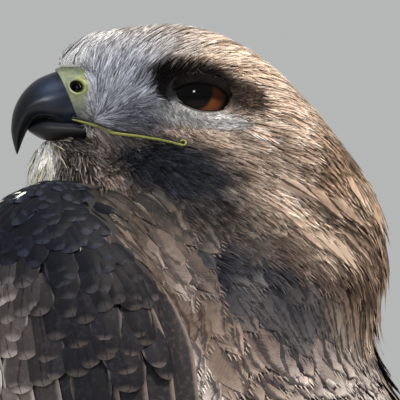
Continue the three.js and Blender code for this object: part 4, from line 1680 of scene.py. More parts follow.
@dataclass
class Plumage:
    """The coats of head, neck, body and thighs."""

    skin: Object
    form: Object
    coat: Coat
    wings: WingMap

    # how far the mantle reaches over the left and the right wing, by shares of length and breadth
    NEAR_EDGE = ((0, 0.06, 0.12, 0.2, 0.5), (0.0, 0.05, 0.14, 0.26, 0.34))
    FAR_EDGE = ((0, 0.06, 0.2, 0.5), (0.05, 0.3, 0.45, 0.45))

    FACE = Growth(520000, 0.34, 0.14, 0.3, 0.3)
    CROWN = Growth(90000, 1.0, 0.09, 0.26, 0.16)
    CHIN = Growth(16000, 0.8, 0.12, 0.3, 0.2)
    HAIRS = Growth(0, 0.8, 0.16, 0.2)  # they grow from the chin's own roots
    NAPE = Growth(32000, 2.3, 0.11, 0.24)
    BODY = Growth(50000, 3.7, 0.1, 0.16)
    BRINK = Tint("#2b2829", "#5f5651", "#1b191b", 0.08)  # the mantle's feathers over the wrist

    def face_share(self, points: Array) -> Array:
        """Finds where the finest feathers grow: lores, forehead edge, and round the eyes.

        Args:
            points: Places in metres.

        Returns:
            Shares from 0 to 1.
        """
        forward, height, _ = HEAD.local(points)
        eye = np.hypot(forward / 15, (height + 0.5) / 11)
        fine = np.clip(fade(forward, 10, 16) * (1 - fade(height, 9, 13)) + (1 - fade(eye, 0.85, 1.1)), 0, 1)
        return np.where(height < -12, fine * (1 - fade(-height, 12, 18)), fine)

    def bare(self, points: Array) -> Array:
        """Finds where no feather grows: between the lids, on the cere's seat and in the mouth.

        Args:
            points: Places in metres.

        Returns:
            1 there and 0 elsewhere.
        """
        forward, height, lateral = HEAD.local(points)
        slant = math.radians(12)
        dx, dy = forward - 1.2, height + 0.2
        x = dx * math.cos(slant) + dy * math.sin(slant)
        y = -dx * math.sin(slant) + dy * math.cos(slant)
        eye = (np.hypot(x / 9.6, y / 5.0) < 1) & (np.abs(lateral) > 15)
        bill = (forward > 30) & (height < 8.5) & (height > -12.5)
        gape = (forward > 5) & (forward < 32) & (np.abs(height + 14.2 - 0.26 * (forward - 5.4)) < 0.5)
        return (eye | bill | gape).astype(float)

    def head_share(self, points: Array) -> Array:
        """Returns 1 on the feathered head down to the start of the long neck feathers."""
        _, height, _ = HEAD.local(points)
        return fade(height, -46, -38) * (1 - self.bare(points))

    def nape_share(self, points: Array) -> Array:
        """Finds where long pointed feathers grow: the nape, and round the foot of the head.

        Args:
            points: Places in metres.

        Returns:
            Shares from 0 to 1.
        """
        forward, height, _ = HEAD.local(points)
        foot = mantle_line(forward)
        nape = (1 - fade(height, -24, -8)) * fade(-forward, 4, 16)
        far, _, _ = self.wings.find(points)
        low = 1 - fade(height - foot, 3, 9)
        return np.maximum(nape, low) * fade(height - foot, -4, 1) * (far > 6) * (height > -80)

    def body_share(self, points: Array) -> Array:
        """Finds the body, and the wings' upper edges that the mantle covers.

        Args:
            points: Places in metres.

        Returns:
            Shares from 0 to 1.
        """
        forward, height, _ = HEAD.local(points)
        foot = mantle_line(forward)
        far, t, across = self.wings.find(points)
        near, away = np.interp(t, *self.NEAR_EDGE), np.interp(t, *self.FAR_EDGE)
        x, y, z = part_place(points)
        brink = np.where(x > 0, near, away)
        on_wing = (far < 5) & (across > brink)
        edge = (far < 6) & (across <= brink) & (t < 0.5) & ((t > 0.03) | (across < -0.1))
        trunk = (y < 128) & (z > 92) & ~((far < 6) & (t > 0.5))
        return (1 - fade(height - foot, -1, 4)) * ((trunk & ~on_wing) | edge)

    def rows(
        self, points: Array, normals: Array, length: Array, width: Array, stand: Array, growth: Growth
    ) -> Roots:
        """Gives roots their lie, size and colours.

        Args:
            points: Where they are.
            normals: The skin's directions there.
            length: Lengths in mm.
            width: Widths in mm.
            stand: Height at the root, rise to the tip and height of the middle in mm.
            growth: How much the feathers differ.

        Returns:
            The finished rows.
        """
        rng = self.coat.rng
        count = len(points)
        lay = LIE.at(points) + rng.normal(0, growth.wild, (count, 3))
        colours = MARKINGS.at(points + lay * (length * 0.45 * MM)[:, None])
        tone = np.exp(rng.normal(0, growth.tones, count))[:, None, None]
        dark = (rng.random(count) < growth.dark)[:, None, None]
        shaft = colours[:, 2:3]
        colours[:, :3] = np.where(dark, 0.6 * shaft + 0.4 * colours[:, :3], colours[:, :3])
        colours[:, :3] = np.clip(colours[:, :3] * tone, 0, 1)
        size = np.exp(rng.normal(0, 0.12, count))
        cant = 0.1 * np.minimum(width, 5) * rng.choice([-1, 1], count)
        return Roots(points, normals, lay, length * size, width * size, stand, cant, colours)

    def fine_share(self, points: Array) -> Array:
        """Returns how likely a fine feather of the face is at each place."""
        return self.head_share(points) * self.face_share(points)

    def crown_share(self, points: Array) -> Array:
        """Returns how likely a small pointed feather is at each place."""
        return self.head_share(points) * (1 - self.face_share(points))

    def chin_share(self, points: Array) -> Array:
        """Returns how likely a loose feather under the bill is at each place."""
        forward, height, _ = HEAD.local(points)
        return fade(forward, 25, 30) * fade(height, -38, -28)

    def strewn(
        self, surface: Object, growth: Growth, wanted: Callable[[Array], Array]
    ) -> tuple[Array, Array]:
        """Strews the roots of a coat."""
        return self.coat.strewn(surface, growth.tries, wanted, growth.gap)

    def face(self) -> None:
        """Grows the fine feathers of the face, one piece for each side."""
        points, normals = self.strewn(self.skin, self.FACE, self.fine_share)
        forward, height, lateral = HEAD.local(points)
        near_eye = 1 - fade(np.hypot(forward / 14, height / 10), 0.75, 1.25)
        brow = np.exp(-((height - 7.5 + 0.1 * forward) / 1.6) ** 2) * (1 - fade(np.abs(forward - 1), 10, 15))
        top = fade(height, 5, 12)
        length = 4.4 + 2.6 * top - 2.4 * near_eye + 2.2 * brow
        width = 0.46 + 0.16 * top + 0.06 * near_eye
        stand = stands(0.15 + 0.25 * top, 1.1 + 1.1 * top - 0.6 * near_eye + 1.6 * brow, 0.0)
        rows = self.rows(points, normals, length, width, stand, self.FACE)
        for side in Side:
            here = rows.kept(lateral * side.value > 0)
            self.coat.grow(f"fine face feathers {side.label}", here, Vane.BRISTLE, self.skin)

    def crown(self) -> None:
        """Grows the small pointed feathers of the crown, cheeks and throat, one piece for each side."""
        points, normals = self.strewn(self.skin, self.CROWN, self.crown_share)
        forward, height, lateral = HEAD.local(points)
        back = fade(-forward - 0.5 * height, -10, 34)
        crown = fade(height, 6, 14)
        throat = fade(forward, 22, 34) * fade(-height, 12, 20)
        length = 6.4 + 5.6 * back + 3.5 * throat
        width = 1.8 + 1.7 * back + 0.2 * throat
        stand = stands(0.15 + 0.7 * crown, 1.5 + 1.0 * back + 0.4 * crown + 1.4 * throat, 0.3)
        rows = self.rows(points, normals, length, width, stand, self.CROWN)
        for side in Side:
            here = rows.kept(lateral * side.value > 0)
            self.coat.grow(f"crown and cheek feathers {side.label}", here, Vane.PLUME, self.skin)

    def chin_form(self) -> Object:
        """Makes the shape that the chin's feathers are laid on; it isn't part of the model.

        Returns:
            The shape.
        """
        height = np.linspace(-12.3, -44, 30)
        front = np.interp(-height, [12, 15, 20, 26, 34, 44], [41.0, 43.2, 44.2, 43.2, 38.5, 29])
        half = np.interp(-height, [12, 15, 20, 26, 34, 44], [5.2, 6.6, 8.2, 10, 12.5, 15])
        angle = np.linspace(0, 2 * math.pi, 40, endpoint=False)
        middle, reach = (front + 12) / 2, (front - 12) / 2
        forward = middle[:, None] + reach[:, None] * np.cos(angle)
        return loft("chin form", HEAD.point(forward, height[:, None], half[:, None] * np.sin(angle)))

    def chin(self) -> None:
        """Grows the loose feathers under the bill: dark and white ones, then clear hairs before them."""
        form = self.chin_form()
        rng = self.coat.rng
        points, normals = self.strewn(form, self.CHIN, self.chin_share)
        count = len(points)
        length = rng.uniform(6.5, 9.5, count)
        stand = stands(0.2, 1.6 + rng.uniform(0, 1.2, count), 0.3)
        rows = self.rows(points, normals, length, np.full(count, 1.9), stand, self.CHIN)
        self.coat.grow("chin feathers", rows, Vane.PLUME, form)
        forward, height, _ = HEAD.local(points)
        front = (forward > 38.5) & (height > -27)
        points, normals, count = points[front], normals[front], int(front.sum())
        for name, longest, tint in (
            ("clear chin hairs", 12, Tint("#d2cba4", "#f1edd2", "#b9b07f")),
            ("white chin hairs", 9.5, Tint("#dedbd2", "#ffffff", "#b5b1a8")),
        ):
            length = rng.uniform(0.6, 1.0, count) * longest
            rise = rng.uniform(0.08, 0.36, count) * longest * (1 if longest > 10 else 0.5)
            stand = stands(0.3, rise, 0.0)
            rows = self.rows(points, normals, length, np.full(count, 0.26), stand, self.HAIRS)
            rows.colours[:] = tint.values()
            self.coat.grow(name, rows, Vane.BRISTLE, form)
        bpy.data.objects.remove(form)

    def nape(self) -> None:
        """Grows the long pointed feathers that hang from the nape."""
        points, normals = self.strewn(self.form, self.NAPE, self.nape_share)
        forward, _, _ = HEAD.local(points)
        back = fade(-forward, -10, 20)
        loose = self.coat.rng.random(len(points)) ** 2
        stand = stands(-0.4, 2.0 + back * (0.3 + 3.4 * loose), 0.5)
        rows = self.rows(points, normals, 13 + 12 * back, 3.8 + 2.4 * back, stand, self.NAPE)
        self.coat.grow("nape feathers", rows, Vane.HACKLE, self.form)

    def body(self) -> None:
        """Grows the feathers of breast, back and thighs."""
        points, normals = self.strewn(self.form, self.BODY, self.body_share)
        _, y, z = part_place(points)
        leg = fade(175 - z, 0, 30) * (1 - fade(y, 40, 60))
        back = fade(y, -50, -10) * (1 - leg)
        length = 21 + 5 * back - 8 * leg
        width = 11 + 2.5 * back - 5.5 * leg
        far, t, across = self.wings.find(points)
        brink = (1 - fade(far, 4, 8)) * (1 - fade(across, 0.35, 0.5))
        brink = brink * fade(t, 0.02, 0.06) * (1 - fade(t, 0.4, 0.5))
        length, width = length * (1 - 0.4 * brink), width * (1 - 0.45 * brink)
        stand = stands(2.0 * brink - 0.5, 2.2 + 0.4 * back, 0.4)
        rows = self.rows(points, normals, length, width, stand, self.BODY)
        rows.colours[:] = mixed(rows.colours, self.BRINK.values(), brink * (1 - fade(t, 0.09, 0.15)))
        front = (y < -30) | (leg > 0.5)
        for side in Side:
            here = (points[:, 0] > 0) == (side is Side.LEFT)
            for name, mask, slot in (("breast", front, "breast_plumage"), ("back", ~front, "mantle_plumage")):
                piece = f"{name} feathers {side.label}"
                self.coat.grow(piece, rows.kept(mask & here), Vane.SOFT, self.form, slot)

    def build(self) -> None:
        """Grows all the coats."""
        self.face()
        self.crown()
        self.chin()
        self.nape()
        self.body()


# Wings and tail


@dataclass(frozen=True)
class Tier:
    """A row of long feathers across the wing; places are shares of its length and breadth, sizes are mm."""

    name: str
    count: int
    root: tuple[float, float]
    tip: tuple[float, float]
    start: tuple[float, float]
    end: tuple[float, float]
    width: float
    sink: float
    tint: Tint
    overlap: float = 2.0
    stacked: bool = False
    bars: float = 0.0
    pale: float = 0.0


TIERS = (
    Tier("primaries", 10, (0.44, 0.42), (0.84, 1.0), (0.3, 0.85), (0.2, 0.8), 19, 8.6,
         Tint("#2b2523", "#57483d", "#191513", 0.03), stacked=True, bars=0.35),
    Tier("secondaries", 13, (0.37, 0.33), (0.8, 0.66), (0.1, 0.9), (0.1, 0.88), 24, 6.2,
         Tint("#3b302b", "#8b7461", "#211a17", 0.03), bars=0.5),
    Tier("greater coverts", 13, (0.27, 0.25), (0.52, 0.45), (0.05, 0.94), (0.06, 0.94), 22, 4.6,
         Tint("#272224", "#8d7a6d", "#161315", 0.03), pale=0.8),
    Tier("median coverts", 13, (0.17, 0.16), (0.36, 0.32), (0.03, 0.96), (0.04, 0.96), 20, 3.0,
         Tint("#19181e", "#6f635f", "#0f0e12", 0.03), pale=0.9),
)


@dataclass
class Wing:
    """One folded wing: its arm, its tiers of long feathers and the small coverts over the shoulder."""

    side: Side
    coat: Coat

    LOW_EDGE = Tint("#857974", "#cfc4bd", "#4a403e", 0.04)
    ARM_DEPTH = ((0, 0.005, 0.013, 0.03, 0.06, 0.12, 0.24, 0.36, 0.48, 0.6),
                 (14, 9, 6, 4.4, 3.4, 2.2, 3.2, 5.8, 8.4, 10.6))
    BED_DEPTH = ((0, 0.005, 0.013, 0.03, 0.06, 0.12, 0.2), (13.2, 8.2, 5.3, 3.7, 2.8, 1.6, 1.2))
    VANE = ((0, 0.12, 0.35, 0.7, 0.86, 0.94, 0.98, 1.0), (0.35, 0.6, 0.88, 1.0, 0.9, 0.68, 0.42, 0.1))
    WRIST = Tint("#0d1018", "#262a35", "#08090e", 0.02)
    UPPER = Tint("#17171d", "#4e4746", "#0e0e12", 0.03)
    LOWER = Tint("#6f6461", "#bdb3ad", "#3a3232", 0.05)
    SHOULDER_END = 0.235  # the share of the wing's length that the small coverts cover

    def arm(self) -> Object:
        """Makes the arm under the coverts.

        Returns:
            The arm.
        """
        t = 0.56 * (np.linspace(0, 1, 64) ** 1.7)[:, None]
        across = np.linspace(0, 1, 30)[None]
        depth = np.interp(t, *self.ARM_DEPTH) + self.wrist_slope(t, across)
        outer = WING.place(self.side, t, across, -depth)
        inner = WING.place(self.side, t, across[:, ::-1], -np.minimum(24, depth[:, ::-1] + 14))
        made = loft(f"wing arm {self.side.label}", np.concatenate([outer, inner], 1))
        plain_paint(made, "#1f1c20")
        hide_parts(f"wing_{self.side.label}")
        finish_piece(made, BareSkin("down-covered wing skin").build())
        return made

    def tier(self, tier: Tier, rows: int = 17, columns: int = 7) -> Object:
        """Makes one tier of long feathers, each of them shaped on the wing's own face.

        Args:
            tier: The tier.
            rows: Points along a feather.
            columns: Points across it.

        Returns:
            The tier's feathers.
        """
        rng = np.random.default_rng(11 + self.side.value)
        run = 1 - (1 - np.linspace(0, 1, rows)) ** 1.3
        u = np.linspace(-1, 1, columns)
        points, faces, colours, places = [], [], [], []
        for index in range(tier.count):
            k = index / (tier.count - 1)
            t0, t1 = (np.interp(k, [0, 1], ends) for ends in (tier.root, tier.tip))
            t1 += rng.normal(0, 0.004)
            t = t0 + (t1 - t0) * run
            low, high = (a + (b - a) * run for a, b in zip(tier.start, tier.end))
            across = low + (high - low) * k
            breadth = WING.breadth(self.side, t)
            pitch = breadth * (high - low) / (tier.count - 1)
            widest = tier.width if tier.stacked else np.minimum(tier.width, tier.overlap * pitch + 3)
            width = np.interp(run, *self.VANE) * widest
            depth = -tier.sink * (1 - run) - 0.9 - (0.62 * index if tier.stacked else 0)
            tilt = 0 * run if tier.stacked else 0.5 * width * 0.95 / pitch
            half = 0.5 * width / breadth
            out = depth[:, None] - tilt[:, None] * u[None] + 0.35 * (1 - u[None] ** 2)
            grid = WING.place(self.side, t[:, None], across[:, None] + half[:, None] * u[None], out)
            faces += grid_faces(rows, columns, start=index * rows * columns)
            points.append(grid.reshape(-1, 3))
            tone = math.exp(rng.normal(0, 0.08))
            bar = 1 - tier.bars * 0.5 * (1 + np.tanh(3 * np.sin(run * 26)))
            pale = tier.pale * (fade(k, 0.35, 0.6) + 0 * run)
            paint = mixed(tier.tint.values(), self.LOW_EDGE.values(), pale)
            paint[:, :3] *= (tone * bar)[:, None, None]
            colours.append(np.repeat(paint, columns, 0))
            places.append(vane_places(run, u))
        made = build_mesh(f"{tier.name} {self.side.label}", np.concatenate(points), faces)
        dress_vanes(made, np.concatenate(colours), np.concatenate(places), tier.count)
        finish_piece(made, self.coat.long_finish)
        return made

    def wrist_slope(self, t: Array, across: Array) -> Array:
        """Returns how many mm the front of the wrist falls away under its coverts."""
        return 4.5 * fade(across, 0.35, 0.95) * (1 - fade(t, 0.06, 0.2))

    def bed_place(self, t: Array, across: Array) -> Array:
        """Returns places on the face that the small coverts are laid on."""
        depth = np.interp(t, *self.BED_DEPTH) + self.wrist_slope(t, across)
        return WING.place(self.side, t, across, -depth)

    def bed(self) -> Object:
        """Makes the face that the small coverts are laid on; it isn't part of the model.

        Returns:
            The face.
        """
        t = 0.42 * (np.linspace(0, 1, 70) ** 1.7)[:, None]
        across = np.linspace(-0.26, 1.04, 46)[None]
        inner = WING.place(self.side, t, across[:, ::-1], -20 + 0 * t)
        return loft("covert bed", np.concatenate([self.bed_place(t, across), inner], 1))

    def shoulder(self) -> None:
        """Grows the small scale-like coverts from the wrist back."""
        form = self.bed()
        rng = self.coat.rng
        rows_t, rows_v = [], []
        start = 0.0006
        while start < self.SHOULDER_END:
            size = 0.8 + 0.55 * start / 0.22
            gap = 4.8 * size
            count = max(3, round(1.2 * float(WING.breadth(self.side, np.array(start))) / gap))
            v = 1.2 * (np.arange(count) + rng.uniform(0, 1)) / count - 0.2
            rows_v.append(v + rng.normal(0, 0.16 / count, count))
            rows_t.append(start * rng.uniform(0.92, 1.08, count))
            start += np.interp(start, [0, 0.004, 0.012, 0.022], [0.002, 0.003, 0.0055, 0.0098]) * size
        t_root = np.clip(np.concatenate(rows_t), 0, 1)
        v_root = np.clip(np.concatenate(rows_v), -0.2, 0.99)
        upper = 0.02 if self.side is Side.LEFT else np.interp(t_root, *Plumage.FAR_EDGE) - 0.1
        kept = (v_root > upper) | (t_root < 0.05)
        t_root, v_root = t_root[kept], v_root[kept]
        place = self.bed_place(t_root, v_root)
        ahead = self.bed_place(t_root + 0.006, v_root)
        beside = self.bed_place(t_root, v_root + 0.01)
        outward = unit(np.cross(beside - place, ahead - place)) * self.side.value
        size = (0.8 + 0.55 * t_root / 0.22) * (0.7 + 0.3 * fade(v_root, -0.05, 0.2))
        count = len(size)
        length, width = 9.5 * size * np.exp(rng.normal(0, 0.1, count)), 7.6 * size
        stand = stands(0.1, 1.0 * size, 0.5 * size)
        colours = mixed(self.WRIST.values(), self.UPPER.values(), fade(t_root, 0.1, 0.2))
        low = 0.9 * fade(t_root, 0.1, 0.15) * fade(v_root, 0.3, 0.55)
        colours = mixed(colours, self.LOWER.values(), low)
        colours[:, :3] *= np.exp(rng.normal(0, 0.2, count))[:, None, None]
        lay = unit(ahead - place) + rng.normal(0, 0.1, (count, 3))
        cant = 0.03 * width * rng.choice([-1, 1], count)
        rows = Roots(place, outward, lay, length, width, stand, cant, np.clip(colours, 0, 1))
        self.coat.grow(f"shoulder coverts {self.side.label}", rows, Vane.SCALE, form, "wing_plumage")
        bpy.data.objects.remove(form)

    def build(self) -> None:
        """Makes the wing."""
        self.arm()
        for tier in TIERS:
            self.tier(tier)
        self.shoulder()


def everywhere(points: Array) -> Array:
    """Returns 1 for each place."""
    return np.ones(len(points))


def vane_places(run: Array, u: Array) -> Array:
    """Returns places on a vane, across and along it, for a grid of points."""
    return np.stack(np.broadcast_arrays(0.5 * u[None], run[:, None], 0 * run[:, None]), -1).reshape(-1, 3)


def dress_vanes(obj: Object, colours: Array, places: Array, count: int) -> None:
    """Gives feathers laid one by one the attributes and the map that the coats have.

    Args:
        obj: The object of the feathers.
        colours: Middle, rim and shaft colours and streak for each point.
        places: Places on the vane for each point.
        count: How many feathers there are; each has its own column on the map.
    """
    for index, key in enumerate(("middle", "rim", "shaft")):
        colour_layer(obj, key, np.clip(colours[:, index], 0, 1))
    store(obj.data, "vane", "FLOAT_VECTOR", places)
    store(obj.data, "streak", "FLOAT", colours[:, 3, 0])
    column = np.arange(len(places)) // (len(places) // count)
    chart = np.stack([(column + 0.5 + 0.9 * places[:, 0]) / count, 0.02 + 0.96 * places[:, 1]], 1)
    corner = read(obj.data.loops, "vertex_index", 1, np.int32)[:, 0]
    chart_map = obj.data.uv_layers.new(name="OFBake")
    chart_map.data.foreach_set("uv", chart[corner].astype(np.float32).ravel())


@dataclass
class Tail:
    """The tail: twelve brick-red feathers with a dark band near the tip, and the coverts at their root."""

    coat: Coat
    root: tuple[float, float, float] = (0.0, 92.0, 117.0)
    fall: float = 35.0
    length: float = 156.0
    pairs: int = 6
    fan: float = 1.9
    width: float = 33.0
    step: float = 0.95
    shrink: float = 2.2  # mm that each feather is shorter than the one inside it
    flesh: float = 44.0  # mm that the fleshy root reaches back

    RED = Tint("#93482a", "#b26c46", "#552919", 0.02)
    BAND = Tint("#241a17", "#33241e", "#171110", 0.02)
    TIP = Tint("#e2cdb8", "#eaddd0", "#c9b09a", 0.02)
    ABOVE = Tint("#9c6a45", "#e0c8ad", "#5b3a26", 0.1)
    UNDER = Tint("#e2d3bd", "#f0e7d8", "#b79f82", 0.03)
    VANE = ((0, 0.2, 0.7, 0.9, 0.96, 0.99, 1), (0.5, 0.8, 1, 0.98, 0.85, 0.6, 0.3))

    def feather(self, side: int, index: int, rows: int, columns: int) -> tuple[Array, Array]:
        """Shapes one feather.

        Args:
            side: 1 for the left half of the tail and -1 for the right.
            index: Its number from the middle.
            rows: Points along it.
            columns: Points across it.

        Returns:
            Its points in metres and their places on the vane.
        """
        fall = math.radians(self.fall)
        back = np.array([0.0, math.cos(fall), -math.sin(fall)])
        up = np.array([0.0, math.sin(fall), math.cos(fall)])
        turn = math.radians((index + 0.5) * self.fan)
        length = self.length - self.shrink * index
        level = -self.step * ((1 - side) / 2 if index == 0 else index + 1) - 0.3
        run = 1 - (1 - np.linspace(0, 1, rows)) ** 1.2
        u = np.linspace(-1, 1, columns)
        wide = np.interp(run, *self.VANE)
        middle = math.sin(turn) * length * run
        x = middle[:, None] + 0.5 * self.width * wide[:, None] * u[None]
        if index:
            x = np.maximum(x, 0.3 + 0.05 * u[None])
        rounded = 2.5 * np.abs(u[None]) ** 3 * run[:, None] ** 6
        reach = math.cos(turn) * length * run[:, None] + 0 * u[None] - rounded
        height = level + 0.4 * (1 - u[None] ** 2) + 0 * run[:, None]
        base = np.array(self.root) + SHIFT
        points = base + side * x[..., None] * np.array([1.0, 0, 0])
        points = points + reach[..., None] * back + height[..., None] * up
        return points.reshape(-1, 3) * MM, vane_places(run, u)

    def build(self) -> None:
        """Makes the tail."""
        red, dark, white = self.RED.values(), self.BAND.values(), self.TIP.values()
        points, faces, colours, places = [], [], [], []
        rows, columns = 30, 7
        for n, (side, index) in enumerate((s, i) for i in range(self.pairs) for s in (1, -1)):
            p, flat = self.feather(side, index, rows, columns)
            run = flat[:, 1]
            band = fade(run, 0.885, 0.9) * (1 - fade(run, 0.945, 0.955))
            points.append(p)
            places.append(flat)
            colours.append(mixed(mixed(red, dark, band), white, fade(run, 0.965, 0.98)))
            faces += grid_faces(rows, columns, start=n * rows * columns)
        made = build_mesh("tail feathers", np.concatenate(points), faces)
        dress_vanes(made, np.concatenate(colours), np.concatenate(places), 2 * self.pairs)
        finish_piece(made, self.coat.long_finish)
        holder = remeshed("tail root", ["tail"], 1.6, 3, 0.8)
        self.cut_holder(holder)
        plain_paint(holder, "#8a5a3a")
        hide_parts("tail")
        finish_piece(holder, BareSkin("down-covered tail root").build())
        self.coverts(holder)

    def cut_holder(self, holder: Object) -> None:
        """Keeps only the fleshy root of the tail's solid.

        Args:
            holder: A copy of the solid.
        """
        _, y, _ = part_place(coordinates(holder))
        reach = (y - self.root[1]) > self.flesh
        with edited(holder.data) as work:
            work.verts.ensure_lookup_table()
            gone = [v for v, far in zip(work.verts, reach) if far]
            bmesh.ops.delete(work, geom=gone, context="VERTS")
            bmesh.ops.holes_fill(work, edges=work.edges)

    def coverts(self, holder: Object) -> None:
        """Grows the coverts over the root of the tail, above and below.

        Args:
            holder: The fleshy root.
        """
        points, normals = self.coat.strewn(holder, 900, everywhere, 4.5)
        count = len(points)
        lay = np.tile([0.0, 0.82, -0.57], (count, 1)) + self.coat.rng.normal(0, 0.05, (count, 3))
        colours = mixed(self.UNDER.values(), self.ABOVE.values(), fade(normals[:, 2], -0.2, 0.4))
        ones = np.ones(count)
        stand = stands(0.2 * ones, 1.5, 0.6)
        rows = Roots(points, normals, lay, 26 * ones, 12 * ones, stand, 0.8 * ones, colours)
        self.coat.grow("tail coverts", rows, Vane.SOFT, holder, "tail_plumage")


# Bill, cere, mouth and eyes


def head_rings(rows: Sequence[Sequence[float]], rings: int, sides: int, power: float, flat: float) -> Array:
    """Makes rings between an upper and a lower profile of the head.

    Args:
        rows: Forward and height of the upper edge, of the lower edge, and half width, in mm.
        rings: How many rings.
        sides: Points in a ring.
        power: How square the upper half is.
        flat: How square the lower half is.

    Returns:
        The rings in metres.
    """
    top_a, top_h, low_a, low_h, width = np.moveaxis(along(rows, np.linspace(0, 1, rings)), -1, 0)
    centre = np.stack([(top_a + low_a) / 2, (top_h + low_h) / 2], 1)
    half = np.stack([top_a - low_a, top_h - low_h], 1) / 2
    angle = np.linspace(0, 2 * math.pi, sides, endpoint=False)
    sine, cosine = np.sin(angle), np.cos(angle)
    p = np.where(sine > 0, power, flat)
    v = np.sign(sine) * np.abs(sine) ** (2 / p)
    w = np.sign(cosine) * np.abs(cosine) ** (2 / p)
    forward = centre[:, :1] + half[:, :1] * v[None]
    height = centre[:, 1:] + half[:, 1:] * v[None]
    return HEAD.point(forward, height, width[:, None] * w[None])


def head_curve(points: Sequence[tuple[float, float]], count: int) -> Array:
    """Makes an even closed curve through places forward of and above the eye.

    Args:
        points: Forward and height in mm.
        count: How many places the curve has.

    Returns:
        The curve's places.
    """
    ring = np.array([*points, *points, *points])
    size = len(points)
    fine = along(ring, (size + np.linspace(0, size, 400)) / (len(ring) - 1))
    walked = np.concatenate([[0], np.cumsum(np.linalg.norm(np.diff(fine, axis=0), axis=1))])
    even = np.linspace(0, walked[-1], count, endpoint=False)
    return np.stack([np.interp(even, walked, fine[:, 0]), np.interp(even, walked, fine[:, 1])], 1)


